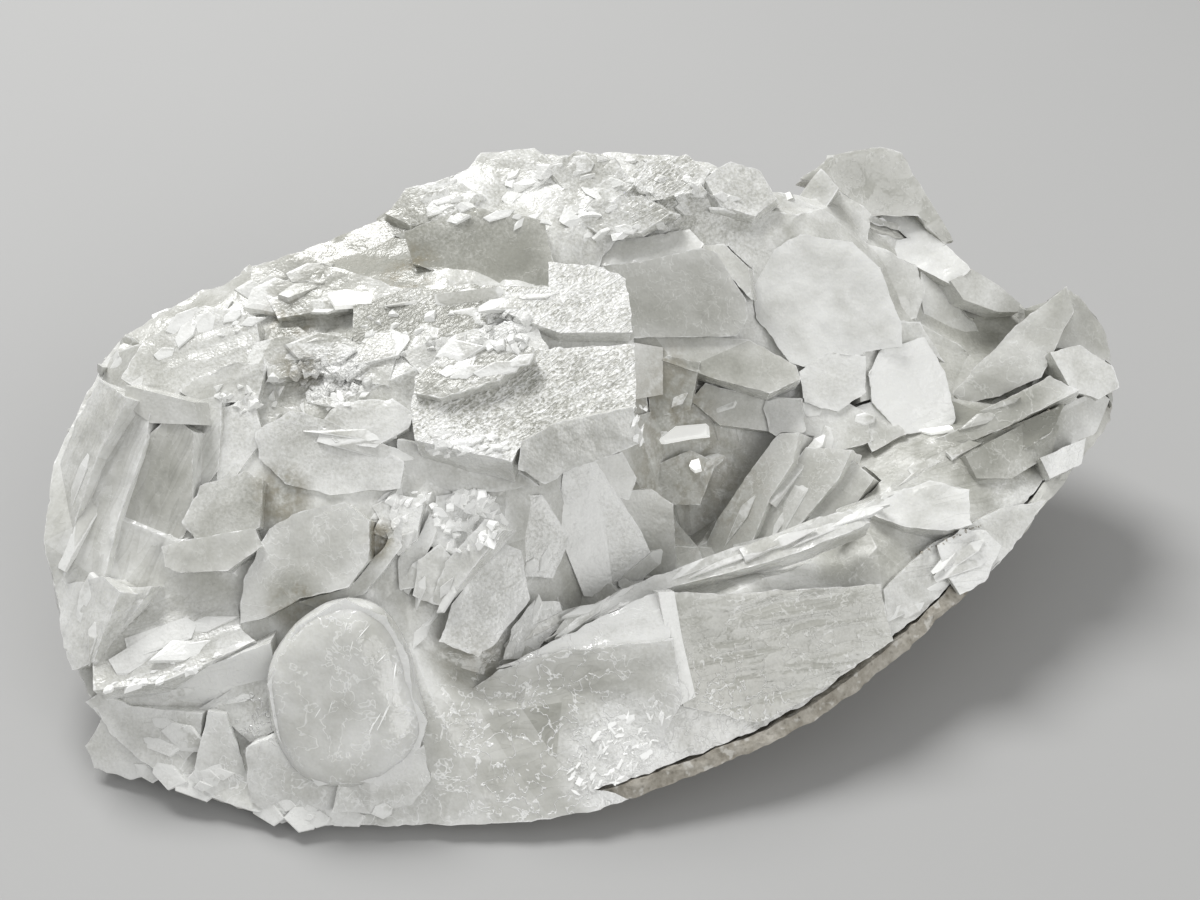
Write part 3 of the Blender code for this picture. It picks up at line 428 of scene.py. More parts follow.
# Patches out of the view, in mm. Nothing stands on the back below LOWEST_REAR; a patch is cast on the surface
# from CAST_FROM out, and finds it within CAST_DEPTH of its own middle.
LOWEST_REAR = 20
CAST_FROM = 60
CAST_DEPTH = 25
UNSEEN_PATCHES = [
    spread("rear_flakes", "flake", (0, 42, 42), (90, 28), (44, 9), 110, (3, 7), (0.3, 0.6), (0.1, 0.2),
           wobble=25, tilt=7, follow=0.85, tone=-0.3),
    spread("rear_flakes", "flake blade", (-62, 18, 32), (152, 24), (22, 10), 56, (3, 7), (0.2, 0.45),
           (0.1, 0.2), spin=20, wobble=22, tilt=5, follow=0.9, tone=-0.3),
    spread("rear_flakes", "flake chip", (-30, 30, 46), (100, 70), (26, 10), 50, (3, 8), (0.3, 0.6),
           (0.1, 0.25), spin=10, wobble=25, tilt=14, tone=-0.2),
    spread("rear_flakes", "flake blade", (-70, -8, 22), (-165, 20), (16, 14), 26, (3, 7), (0.15, 0.35),
           (0.08, 0.16), spin=70, wobble=10, tilt=4, follow=0.9, tone=-0.3),
    spread("rear_flakes", "chip flake", (70, 8, 28), (10, 35), (12, 8), 24, (2, 6), (0.3, 0.6), (0.12, 0.3),
           spin=30, wobble=25, tilt=14, tone=-0.2),
]


def stand(template, at, normal, along, size):
    """A copy of a crystal, with its face at a place, looking along a normal, and its length along a way in
    it."""
    length, width, thickness = size
    columns = (along * length, normal.cross(along) * width, normal * thickness)
    matrix = Matrix([[c[row] * MM for c in columns] + [at[row]] for row in range(3)] + [[0, 0, 0, 1]])
    mesh = template.data.copy()
    mesh.transform(matrix)
    made = bpy.data.objects.new(template.name, mesh)
    bpy.context.scene.collection.objects.link(made)
    return made


# Where a seen crystal looks on its own, how squarely its place has to face the view, how thick it is for
# what shows of it, and how many degrees the spread of a tilt counts for.
SEEN_FACING = (VIEW_BACK + Vector((0, 0, 0.6))).normalized()
LEAST_SHOWN = 0.25
THICKER = 1.6
TILT_DEG = 57.3


def within(chance, reach, slant):
    """A chance place within an ellipse."""
    r, t = math.sqrt(chance.random()), chance.uniform(0, 2 * math.pi)
    a, b = reach[0] * r * math.cos(t), reach[1] * r * math.sin(t)
    s = math.radians(slant)
    return a * math.cos(s) - b * math.sin(s), a * math.sin(s) + b * math.cos(s)


def shows(surface, place):
    """Whether a place on a surface is seen from the camera."""
    first, _, _, _ = surface.ray_cast(EYE, (place - EYE).normalized())
    return first is not None and (first - place).length < MM


def grow_patch(patch, shapes, surface, chance):
    made = []
    in_view = "middle" in patch
    for _ in range(patch["count"]):
        spin = chance.gauss(0, patch["wobble"])
        lean = Vector([chance.gauss(0, patch["tilt"] / TILT_DEG) for _ in range(3)])
        length = chance.uniform(*patch["length"])
        size = (length, length * chance.uniform(*patch["aspect"]), length * chance.uniform(*patch["thick"]))
        kind = chance.choice(shapes[chance.choice(patch["kinds"].split())])
        if in_view:
            across, up = within(chance, patch["reach"], patch["slant"])
            hit, normal = seen(surface, patch["middle"][0] + across, patch["middle"][1] - up)
            facing = SEEN_FACING
            if hit is None or normal.dot(VIEW_BACK) < LEAST_SHOWN:
                continue
        else:
            facing = compass(*patch["facing"])
            level = Vector((0, 0, 1)).cross(facing)
            across, up = within(chance, patch["reach"], 0)
            level.normalize()
            spot = (Vector(patch["at"]) + level * across + facing.cross(level) * up) * MM
            hit, normal, _, _ = surface.ray_cast(spot + facing * CAST_FROM * MM, -facing)
            if hit is None or (hit - spot).length > CAST_DEPTH * MM:
                continue
            if shows(surface, hit) or hit.z < LOWEST_REAR * MM < hit.y:
                continue
        looks = (normal * patch["follow"] + facing * (1 - patch["follow"])).normalized()
        looks = (looks + lean).normalized()
        if in_view:
            along = running(looks, patch["run"] + spin)
            proud = chance.uniform(*patch["proud"])
            size = (size[0], size[1], max(size[2], proud * THICKER))
        else:
            level = Vector((0, 0, 1)).cross(looks).normalized()
            along = Matrix.Rotation(math.radians(patch["spin"] + spin), 3, looks) @ level
            proud = size[2] * (1 - patch["sink"])
        crystal = stand(kind, hit + looks * proud * MM, looks, along, size)
        apart = crystal.data.attributes["from_edge"]
        apart.data.foreach_set("value", [d.value * size[1] for d in apart.data])
        white = patch["tone"] + chance.uniform(-TONE_SPREAD, TONE_SPREAD)
        store(crystal, "tone", [white] * len(crystal.data.vertices))
        made.append(crystal)
    return made


def joined(name, parts):
    """Several objects as one, under a name."""
    deselect()
    for part in parts:
        part.select_set(True)
    bpy.context.view_layer.objects.active = parts[0]
    bpy.ops.object.join()
    made = bpy.context.object
    made.name = name
    made.data.name = name
    deselect()
    return made


# ---------------------------------------------------------------- crystals drawn by their outline


def local_frame(point, facing):
    """The way to a plane through a point: across it, up it and out of it."""
    across = running(facing, 0)
    columns = (across, facing.cross(across), facing, point)
    return Matrix([[c[row] for c in columns] for row in range(3)] + [[0, 0, 0, 1]])


def drawn_slab(name, corners, point, facing, thickness, taper=0.94):
    """A slab in a plane, its outline given in the view's units, still open for editing with its face
    selected. Its face is at z = 0 of the plane's own frame."""
    frame_of_plane = local_frame(point, facing)
    back = frame_of_plane.inverted()
    outline = []
    for across, down in corners:
        way = sight(across, down)
        distance = (point - EYE).dot(facing) / way.dot(facing)
        outline.append(back @ (EYE + way * distance))
    area = sum(a.x * b.y - b.x * a.y for a, b in zip(outline, outline[1:] + outline[:1]))
    if area < 0:
        outline.reverse()
    deselect()
    bpy.ops.mesh.primitive_circle_add(vertices=len(outline), radius=0.01, fill_type="NGON")
    made = begin(name)
    bm = bmesh.from_edit_mesh(made.data)
    ring = sorted(bm.verts, key=lambda v: math.atan2(v.co.y, v.co.x) % (2 * math.pi))
    for vertex, corner in zip(ring, outline):
        vertex.co = (corner.x, corner.y, -thickness * MM)
    middle = sum(outline, Vector()) / len(outline)
    bmesh.update_edit_mesh(made.data)
    pick(made, "faces")
    extrude(z=thickness * MM)
    stretch(taper, taper, 1, about=(middle.x, middle.y, 0))
    return made, frame_of_plane


def settled(made, frame_of_plane, tone, apart=0.0):
    """A drawn crystal moved to its place, with its tone."""
    end(made)
    made.data.transform(frame_of_plane)
    for name, value in (("tone", tone), ("from_edge", apart)):
        store(made, name, [value] * len(made.data.vertices))
    return made


# Clean cleavage faces: a name, the outline, and how far it stands out in mm. They are this thick in mm, with
# a bevel in metres.
FLASH_THICKNESS = 0.8
FLASH_BEVEL = 0.0002
FLASHES = (
    ("slab flash", ((326, 293), (345, 289), (374, 294), (372, 303), (334, 306)), 1.2),
    ("hollow flash", ((645, 424), (672, 426), (708, 423), (709, 434), (690, 436), (664, 441), (646, 440)),
     0.9),
    ("small flash", ((691, 460), (699, 458), (701, 468), (694, 470), (689, 466)), 1.0),
    ("rim flash", ((918, 430), (950, 425), (954, 428), (930, 433)), 1.2),
)


def add_flashes(surface):
    """Small clean cleavage faces, turned so that they mirror the main light."""
    made = []
    for name, corners, rise in FLASHES:
        middle = [sum(c[k] for c in corners) / len(corners) for k in range(2)]
        point, _ = seen(surface, *middle)
        facing = ((EYE - point).normalized() + (Vector(KEY_AT) - point).normalized()).normalized()
        point = point + VIEW_BACK * rise * MM
        slab, place = drawn_slab(name.replace(" ", "_"), corners, point, facing, FLASH_THICKNESS)
        bpy.ops.mesh.inset(thickness=FLASH_BEVEL)
        made.append(settled(slab, place, 0.5, 1.0))
    return joined("cleavage_flashes", made)


# The lens at the front: its outline, the way that it faces, its middle, and how deep it sits and how thick it
# is in mm.
LENS_OUTLINE = (
    (261, 683), (269, 652), (293, 620), (319, 602), (344, 594), (370, 598), (391, 613), (404, 634), (414, 658),
    (419, 690), (431, 718), (426, 749), (402, 773), (370, 789), (339, 793), (309, 788), (285, 767), (267, 727),
)
LENS_FACING = (-88, 34)
LENS_MIDDLE = (345, 690)
LENS_SINK = 1.7
LENS_THICKNESS = 5
# The rings of its dome: how much narrower and how much higher each is, in mm.
LENS_RINGS = ((0.5, 1.2), (0.8, 0.9), (1.6, 0.7), (2.6, 0.4))


def add_front_lens(surface):
    """The big clear lens at the front: a smooth dome."""
    point, _ = seen(surface, *LENS_MIDDLE)
    facing = compass(*LENS_FACING)
    point = point - facing * LENS_SINK * MM
    made, place = drawn_slab("front_lens", LENS_OUTLINE, point, facing, LENS_THICKNESS, 0.97)
    for narrower, higher in LENS_RINGS:
        bpy.ops.mesh.inset(thickness=narrower * MM)
        push(z=higher * MM)
    end(made)
    rounder = made.modifiers.new("rounder", "SUBSURF")
    rounder.levels = rounder.render_levels = 3
    apply_modifier(made, rounder)
    settled(made, place, 0.0, 3.0)
    relief(made, "lens_swell", "CLOUDS", 7, 0.6)
    relief(made, "lens_dents", "CLOUDS", 2.2, 0.2, (("noise_depth", 2),))
    smooth_within(made, 40)
    return made


# Crystals drawn by their outline: a name, the outline, where its plane meets what is under it, the way it
# faces, how far it stands out, how thick it is, and how white. The bevel is in metres.
CRYSTAL_BEVEL = 0.0006
DRAWN_CRYSTALS = (
    ("behind the stepped plate", ((856, 342), (882, 338), (888, 396), (860, 404)), (846, 372), (-72, 42),
     0.3, 4, 0.05),
    ("behind the ledge", ((628, 340), (664, 346), (664, 396), (630, 402)), (662, 402), (-76, 34),
     0.6, 3, -0.1),
    ("rim's blade", ((962, 456), (1034, 416), (1062, 424), (1054, 454), (1012, 480), (974, 480)), (1004, 492),
     (-68, 48), 0.5, 4, -0.04),
    ("rim's end", ((1036, 420), (1072, 400), (1100, 388), (1112, 398), (1098, 432), (1066, 464), (1044, 452)),
     (1078, 382), (-62, 40), -0.4, 4, 0.16),
    ("step on the left shoulder", ((124, 384), (196, 402), (202, 426), (150, 424), (122, 404)), (156, 432),
     (-108, 36), 0.1, 5, 0.0),
    ("plate under the brow", ((548, 468), (590, 466), (606, 520), (616, 604), (584, 600), (560, 540)),
     (560, 512), (-76, 38), -0.4, 3, 0.3),
    ("wall's upright ridge", ((657, 589), (674, 588), (683, 640), (697, 700), (681, 709), (667, 641)),
     (704, 640), (-76, 44), 0.5, 3, 0.22),
    ("glassy tip", ((948, 280), (972, 268), (1000, 285), (1022, 304), (1020, 313), (998, 313), (962, 300)),
     (956, 284), (-65, 45), 0.6, 3.5, 0.0),
)


def add_drawn_crystals(surface):
    made = []
    for name, corners, place, facing, proud, thickness, tone in DRAWN_CRYSTALS:
        point, _ = seen(surface, *place)
        facing = compass(*facing)
        point = point + facing * proud * MM
        slab, plane = drawn_slab(name.replace(" ", "_"), corners, point, facing, thickness)
        bpy.ops.mesh.inset(thickness=CRYSTAL_BEVEL)
        made.append(settled(slab, plane, tone, 0.3))
    return joined("drawn_crystals", made)


def apply_modifier(made, modifier):
    only(made)
    bpy.ops.object.modifier_apply(modifier=modifier.name)
    deselect()


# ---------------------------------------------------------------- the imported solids, with their relief


# Faces with a look of their own, each by a place on it in the view: how much whiter, sugarier and glassier
# it is.
FACE_LOOKS = (
    ("great plate", (820, 300), 0.2, -0.15, 0.1),
    ("white plate", (915, 385), 0.6, -0.15, 0.0),
    ("stepped plate", (835, 375), 0.14, 0.0, 0.2),
    ("lower stepped plate", (835, 425), 0.05, 0.0, 0.2),
    ("foot of the white plate", (878, 430), 0.2, 0.0, 0.2),
    ("rear grey blade", (880, 185), -0.04, -0.15, 0.6),
    ("small bright plate", (812, 200), 0.02, -0.1, 0.0),
    ("grey slope", (845, 222), -0.04, -0.1, 0.3),
    ("white shelf", (915, 240), 0.44, -0.1, 0.0),
    ("upper slope", (900, 285), 0.1, -0.1, 0.3),
    ("middle slope", (950, 320), 0.26, -0.1, 0.3),
    ("right blade", (1020, 350), 0.06, -0.1, 0.4),
    ("right blade's back", (1095, 335), 0.06, -0.1, 0.4),
    ("end facet", (1085, 372), 0.08, 0.0, 0.2),
    ("rim plate", (920, 505), 0.08, -0.1, 0.1),
    ("rim button", (970, 560), 0.14, 0.0, 0.2),
    ("cleaved patch", (1064, 458), 0.35, 0.2, 0.0),
    ("main ledge", (560, 390), 0.06, 0.9, -0.2),
    ("main ledge's brow", (590, 440), -0.02, 0.1, 0.1),
    ("upper ledge", (590, 300), 0.14, 0.8, -0.2),
    ("green-grey plate", (460, 370), -0.1, 0.4, 0.0),
    ("long slab", (450, 310), -0.3, 0.6, 0.0),
    ("smooth lens", (480, 245), -0.38, 0.0, 0.5),
    ("lip", (320, 450), 0.04, 0.1, 0.3),
    ("hanging plate", (240, 430), 0.06, 0.2, 0.0),
    ("first left blade", (165, 500), -0.28, -0.1, 0.3),
    ("second left blade", (110, 500), 0.0, -0.1, 0.3),
    ("third left blade", (80, 480), -0.08, 0.1, 0.2),
    ("smooth blade", (300, 555), 0.0, -0.1, 0.5),
    ("upper lobed plate", (230, 510), -0.2, 0.1, 0.3),
    ("lobed plate", (210, 555), -0.16, -0.1, 0.3),
    ("rim blade", (960, 425), -0.4, 0.0, 0.4),
    ("rim blade's neighbour", (990, 445), -0.4, 0.0, 0.4),
    ("shoulder plate", (200, 350), 0.0, 0.2, 0.0),
    ("bright slope", (170, 645), -0.1, 0.0, 0.0),
    ("under-slope", (190, 695), 0.56, 0.0, 0.3),
    ("front lens", (340, 700), 0.2, 0.0, 0.8),
    ("middle plate", (540, 535), 0.1, 0.3, 0.1),
    ("wide plate", (490, 600), 0.18, 0.3, 0.1),
    ("low plate", (535, 635), 0.22, 0.3, 0.1),
    ("wall's bright facet", (600, 632), 0.3, 0.1, 0.5),
    ("wall's left face", (560, 720), -0.24, 0.0, 0.9),
    ("wall's right face", (780, 650), -0.28, 0.0, 0.5),
    ("grey plate", (660, 290), -0.06, -0.1, 0.4),
    ("level blade", (720, 362), -0.18, 0.0, 0.3),
    ("tall plate", (605, 530), 0.28, 0.3, 0.1),
)


def fine_copy(node, name, edges):
    """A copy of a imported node, its doubles merged and cut up until no edge is much longer than the ones
    given, for what the view shows and the rest. Each flat facet keeps looks of its own, and the copy
    remembers the lines of its sharp outer edges."""
    made = bpy.data.objects.new(name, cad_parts[node].data.copy())
    made.data.name = name
    made.data.materials.clear()
    bpy.context.scene.collection.objects.link(made)
    only(made)
    bpy.ops.mesh.customdata_custom_splitnormals_clear()
    bpy.ops.object.shade_flat()
    bpy.ops.object.mode_set(mode="EDIT")
    bpy.ops.mesh.select_all(action="SELECT")
    bpy.ops.mesh.remove_doubles(threshold=DOUBLES)
    bpy.ops.mesh.dissolve_limited(angle_limit=math.radians(FLAT_DEG))
    bpy.ops.object.mode_set(mode="OBJECT")
    give_faces_looks(made)
    lines = sharp_lines(made)
    only(made)
    bpy.ops.object.mode_set(mode="EDIT")
    bpy.ops.mesh.select_all(action="SELECT")
    bpy.ops.mesh.quads_convert_to_tris(quad_method="BEAUTY", ngon_method="BEAUTY")

    def too_long(edge, limit):
        a, b = edge.verts
        in_view = (a.normal + b.normal).dot(VIEW_BACK) > -0.3
        return (a.co - b.co).length > limit * MM * edges[0 if in_view else 1]

    for limit in CUT_ROUNDS:
        pick(made, "edges", lambda e, limit=limit: too_long(e, limit))
        bpy.ops.mesh.subdivide(number_cuts=1, quadcorner="STRAIGHT_CUT")
        bpy.ops.mesh.select_all(action="SELECT")
        bpy.ops.mesh.quads_convert_to_tris(quad_method="SHORTEST_DIAGONAL", ngon_method="BEAUTY")
    end(made)
    return made, lines


def give_faces_looks(made):
    """Each facet's own whiteness, sugariness and gloss: as named, or by chance."""
    polygons = made.data.polygons
    chance = random.Random(SEED)
    looks = [[chance.uniform(-TONE_SPREAD, TONE_SPREAD), 0.0, 0.0] for _ in polygons]
    surface = ground(made)
    for _, (across, down), *look in FACE_LOOKS:
        _, _, index, _ = surface.ray_cast(EYE, sight(across, down))
        if index is not None:
            looks[index] = look
    for k, name in enumerate(("tone", "sugar", "glass")):
        store(made, name, [look[k] for look in looks], "FACE")


def sharp_lines(made):
    """Points along the sharp edges that stand out."""
    bm = bmesh.new()
    bm.from_mesh(made.data)
    bm.normal_update()
    points = []
    for e in bm.edges:
        if len(e.link_faces) == 2 and e.calc_face_angle_signed(0) > math.radians(SHARP_DEG):
            a, b = e.verts[0].co, e.verts[1].co
            steps = max(1, int((b - a).length / (LINE_SPACING * MM)))
            points += [a.lerp(b, k / steps) for k in range(steps + 1)]
    bm.free()
    tree = KDTree(len(points))
    for k, point in enumerate(points):
        tree.insert(point, k)
    tree.balance()
    return tree


def measure_edges(made, lines):
    """How far each point is from the sharp edges that stand out, in mm, and a vertex group of those on
    them."""
    apart = [min(FARTHEST_EDGE, lines.find(v.co)[2] / MM) for v in made.data.vertices]
    store(made, "from_edge", apart)
    weigh(made, "edges", [max(0.0, 1 - distance / CHIPPED_REACH) for distance in apart])


def weigh(made, name, shares):
    """A vertex group with a weight for every vertex, in ten steps."""
    group = made.vertex_groups.new(name=name)
    steps = {}
    for k, share in enumerate(shares):
        step = round(share * 10)
        if step:
            steps.setdefault(step, []).append(k)
    for step, members in steps.items():
        group.add(members, step / 10, "REPLACE")


def points_of(made):
    """A mesh's points, in mm."""
    points = np.empty(len(made.data.vertices) * 3)
    made.data.vertices.foreach_get("co", points)
    return points.reshape(-1, 3) / MM


def patch_shares(made, places):
    """How far each vertex is inside some soft balls: a middle and a reach in mm, and a strength."""
    points = points_of(made)
    shares = np.zeros(len(points))
    for middle, reach, strength in places:
        away = np.linalg.norm((points - np.array(middle)) / np.array(reach), axis=1)
        shares = np.maximum(shares, strength * np.clip(2 * (1 - away), 0, 1))
    return shares


# What a region can add to, in the order in which its values are given.
REGION_VALUES = ("milk_here", "gloss_here", "grain_here", "warmth", "cracks")


def mark_regions(made, regions):
    """What the regions add at each point, as attributes of the piece."""
    points = points_of(made)
    totals = np.zeros((len(points), len(REGION_VALUES)))
    for middle, reach, more in regions:
        away = np.linalg.norm(points - np.array(middle), axis=1) / reach
        totals[:, : len(more)] += np.clip(2 * (1 - away), 0, 1)[:, None] * np.array(more)
    for k, name in enumerate(REGION_VALUES):
        store(made, name, totals[:, k])


def balls(surface, places):
    """Soft balls about places of the view: a name, the place, a reach in mm and a strength."""
    made = []
    for _, (across, down), reach, strength in places:
        point, _ = seen(surface, across, down)
        made.append((point / MM, (reach,) * 3, strength))
    return made


def relief(made, name, kind, size, strength, settings=(), group="", along=None, times=5):
    """Raise a pattern on a mesh with a displacement, and apply it. Along is the way that the pattern is
    drawn out, and times how much longer it is that way."""
    pattern = bpy.data.textures.new(name, kind)
    pattern.noise_scale = size * MM
    for key, value in settings:
        setattr(pattern, key, value)
    modifier = made.modifiers.new(name, "DISPLACE")
    modifier.texture = pattern
    modifier.strength = strength * MM
    modifier.mid_level = 0.5
    modifier.vertex_group = group
    guide = None
    if along:
        guide = bpy.data.objects.new(name + "_guide", None)
        bpy.context.scene.collection.objects.link(guide)
        turn = along.to_track_quat("X", "Z").to_matrix().to_4x4()
        guide.matrix_world = turn @ Matrix.Diagonal((times, 1, 1, 1))
        modifier.texture_coords = "OBJECT"
        modifier.texture_coords_object = guide
        bpy.context.view_layer.update()
    else:
        modifier.texture_coords = "GLOBAL"
    apply_modifier(made, modifier)
    if guide:
        bpy.data.objects.remove(guide)


# Where the relief is sugary and where it is drawn out: a name, a place in the view, a reach in mm and a
# strength. Where it is unseen and broken: a middle and a reach in mm, and a strength.
SUGARY = (
    ("main ledge", (560, 390), 13, 0.8),
    ("ledge's left part", (460, 410), 9, 0.8),
    ("upper ledge", (590, 290), 9, 0.8),
    ("long slab", (450, 300), 10, 0.7),
    ("slab's left end", (320, 310), 10, 0.8),
    ("crumbs", (335, 378), 8, 1.0),
    ("more crumbs", (500, 330), 7, 1.0),
    ("ridge, left", (460, 195), 12, 1.0),
    ("ridge, middle", (600, 180), 14, 1.0),
    ("ridge, right", (710, 190), 12, 1.0),
    ("ridge, front", (580, 225), 8, 0.8),
    ("sparkling grain", (470, 525), 6, 1.0),
    ("foil", (610, 755), 8, 1.0),
    ("foot", (280, 800), 9, 0.6),
    ("fractures", (270, 715), 6, 1.0),
    ("cleaved patch", (1065, 458), 5, 1.0),
    ("rim patch", (1014, 492), 5, 1.0),
)
DRAWN_OUT_LEFT = (
    ("upper blades", (110, 430), 14, 0.7),
    ("blades", (120, 520), 14, 0.7),
    ("right blades", (190, 450), 10, 0.8),
    ("lower blades", (85, 610), 9, 0.6),
)
DRAWN_OUT_SLOPE = (
    ("bright slope", (170, 650), 12, 0.7),
    ("under it", (180, 700), 9, 0.4),
    ("shoulder", (220, 340), 10, 0.8),
)
DRAWN_OUT_FRONT = (
    ("right face", (790, 640), 15, 0.8),
    ("left face", (550, 700), 14, 0.6),
    ("crest", (760, 560), 12, 0.8),
    ("rim", (960, 470), 12, 0.7),
    ("far face", (950, 580), 9, 0.8),
)
UNSEEN = (
    ((0, 60, 25), (90, 34, 60), 1.0),
    ((-70, 35, 25), (30, 40, 50), 1.0),
    ((70, 45, 25), (40, 34, 50), 1.0),
)


def smooth_within(made, angle):
    only(made)
    bpy.ops.object.shade_smooth_by_angle(angle=math.radians(angle))
    deselect()


def run_at(surface, place, angle):
    """The way on what is seen at a place that looks turned by an angle in the view."""
    return running(seen(surface, *place)[1], angle)


def dress_mass():
    made, lines = fine_copy("calcite_mass", "calcite_body", BODY_EDGE)
    surface = ground(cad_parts["calcite_mass"])
    measure_edges(made, lines)
    for name, places in (
        ("sugary", balls(surface, SUGARY)),
        ("left", balls(surface, DRAWN_OUT_LEFT)),
        ("slope", balls(surface, DRAWN_OUT_SLOPE)),
        ("front", balls(surface, DRAWN_OUT_FRONT)),
        ("unseen", UNSEEN),
    ):
        shares = patch_shares(made, places)
        weigh(made, name, shares)
        store(made, "share_" + name, shares)
    relief(made, "swell", "CLOUDS", 6, 0.7)
    relief(made, "roughness", "CLOUDS", 2.0, 0.18, (("noise_depth", 3),))
    relief(made, "sugar", "VORONOI", 1.3, 0.45, (("distance_metric", "DISTANCE"),), group="sugary")
    relief(made, "left_streaks", "VORONOI", 2.2, 0.4, group="left",
           along=run_at(surface, (120, 500), 65), times=7)
    relief(made, "slope_streaks", "VORONOI", 2.0, 0.22, group="slope",
           along=run_at(surface, (170, 650), 18), times=7)
    relief(made, "front_streaks", "CLOUDS", 1.6, 0.5, (("noise_depth", 3),), group="front",
           along=run_at(surface, (780, 650), 12), times=6)
    relief(made, "broken_back", "VORONOI", 7, 1.8, group="unseen")
    relief(made, "chipped_edges", "CLOUDS", 1.6, 0.8, (("noise_depth", 2),), group="edges")
    made.vertex_groups.clear()
    smooth_within(made, SMOOTH_DEG)
    return made


def dress_crust():
    made, lines = fine_copy("hollow_crystal_crust", "hollow_crystals", CRUST_EDGE)
    measure_edges(made, lines)
    relief(made, "crust_roughness", "CLOUDS", 1.8, 0.16, (("noise_depth", 3),))
    relief(made, "crust_edges", "CLOUDS", 1.2, 0.45, (("noise_depth", 2),), group="edges")
    made.vertex_groups.clear()
    smooth_within(made, SMOOTH_DEG)
    return made


def dress_rind():
    made, lines = fine_copy("host_rock_rind", "rock_rind", RIND_EDGE)
    measure_edges(made, lines)
    relief(made, "rock_lumps", "CLOUDS", 4, 0.9, (("noise_depth", 4),))
    relief(made, "rock_pits", "VORONOI", 1.8, 0.5)
    made.vertex_groups.clear()
    for v in made.data.vertices:
        v.co.z = max(v.co.z, 0)
    return made


# ---------------------------------------------------------------- finishes


class Wire:
    """A socket that adds, multiplies and compares as a number does."""

    def __init__(self, finish, socket):
        self.finish = finish
        self.socket = socket

    def maths(self, operation, *values):
        return self.finish.node("ShaderNodeMath", {"operation": operation}, *values)

    def __add__(self, other):
        return self.maths("ADD", self, other)

    def __sub__(self, other):
        return self.maths("SUBTRACT", self, other)

    def __rsub__(self, other):
        return self.maths("SUBTRACT", other, self)

    def __mul__(self, other):
        return self.maths("MULTIPLY", self, other)

    def clamped(self):
        return self.finish.node("ShaderNodeClamp", {}, self)

    def fraction(self):
        return self.maths("FRACT", self)

    def size(self):
        return self.maths("ABSOLUTE", self)

    def most(self, other):
        return self.maths("MAXIMUM", self, other)

    __radd__ = __add__


class Finish:
    """A material under construction."""

    def __init__(self, name):
        self.material = bpy.data.materials.new(name)
        self.material.use_nodes = True
        self.tree = self.material.node_tree
        self.shader = self.tree.nodes["Principled BSDF"]
        self.at = self.node("ShaderNodeTexCoord", {"output": "Object"})

    def node(self, kind, settings, *values, **named):
        """Add a node: its settings first, then its sockets in order or by name, and give back an output."""
        made = self.tree.nodes.new(kind)
        output = settings.pop("output", None)
        stops = settings.pop("stops", None)
        for key, value in settings.items():
            setattr(made, key, value)
        if stops:
            ramp = made.color_ramp
            while len(ramp.elements) < len(stops):
                ramp.elements.new(0.5)
            for element, (place, colour) in zip(ramp.elements, stops):
                element.position = place
                element.color = (*colour, 1)
        sockets = list(zip([s for s in made.inputs if s.enabled], values))
        sockets += [(made.inputs[key.replace("_", " ").title()], value) for key, value in named.items()]
        for socket, value in sockets:
            if isinstance(value, Wire):
                self.tree.links.new(value.socket, socket)
            else:
                socket.default_value = value
        outputs = [s for s in made.outputs if s.enabled]
        return Wire(self, made.outputs[output] if output else outputs[0])

    def noise(self, at, size, detail=3, roughness=0.55, distortion=0.0):
        """Soft noise, from 0 to 1, whose features are this many mm across."""
        return self.node(
            "ShaderNodeTexNoise", {"output": "Fac"}, Vector=at, Scale=1 / (size * MM), Detail=detail,
            Roughness=roughness, Distortion=distortion,
        )

    def cells(self, at, size):
        return self.node("ShaderNodeTexVoronoi", {"output": "Distance"}, Vector=at, Scale=1 / (size * MM))

    def ramp(self, value, *stops):
        return self.node("ShaderNodeValToRGB", {"stops": stops}, value)

    def step(self, value, low, high, start=0.0, finish=1.0):
        return self.node(
            "ShaderNodeMapRange", {"interpolation_type": "SMOOTHSTEP"}, value, low, high, start, finish
        )

    def mixed(self, share, first, second):
        made = self.tree.nodes.new("ShaderNodeMix")
        made.data_type = "RGBA"
        for key, value in ((0, share), (6, first), (7, second)):
            if isinstance(value, Wire):
                self.tree.links.new(value.socket, made.inputs[key])
            elif key == 0:
                made.inputs[key].default_value = value
            else:
                made.inputs[key].default_value = (*value, 1)
        return Wire(self, made.outputs[2])

    def drawn_out(self, way, times):
        """The coordinates for a pattern that is drawn out this many times along a way."""
        turn = way.to_track_quat("X", "Z").to_euler()
        return self.node(
            "ShaderNodeMapping", {"vector_type": "TEXTURE"}, self.at, Rotation=list(turn), Scale=(times, 1, 1)
        )

    def attribute(self, name):
        return self.node("ShaderNodeAttribute", {"attribute_name": name, "output": "Fac"})

    def bump(self, height, distance, strength):
        return self.node("ShaderNodeBump", {}, Strength=strength, Distance=distance * MM, Height=height)

    def set(self, **inputs):
        for key, value in inputs.items():
            socket = self.shader.inputs[key.replace("_", " ")]
            if isinstance(value, Wire):
                self.tree.links.new(value.socket, socket)
            else:
                socket.default_value = value
        return self.material


# Calcite's colours: milky, grey, clear, and stained.
MILK = (0.83, 0.834, 0.812)
GREY = (0.515, 0.515, 0.475)
CLEAR = (0.34, 0.34, 0.30)
WARM = (0.27, 0.245, 0.18)


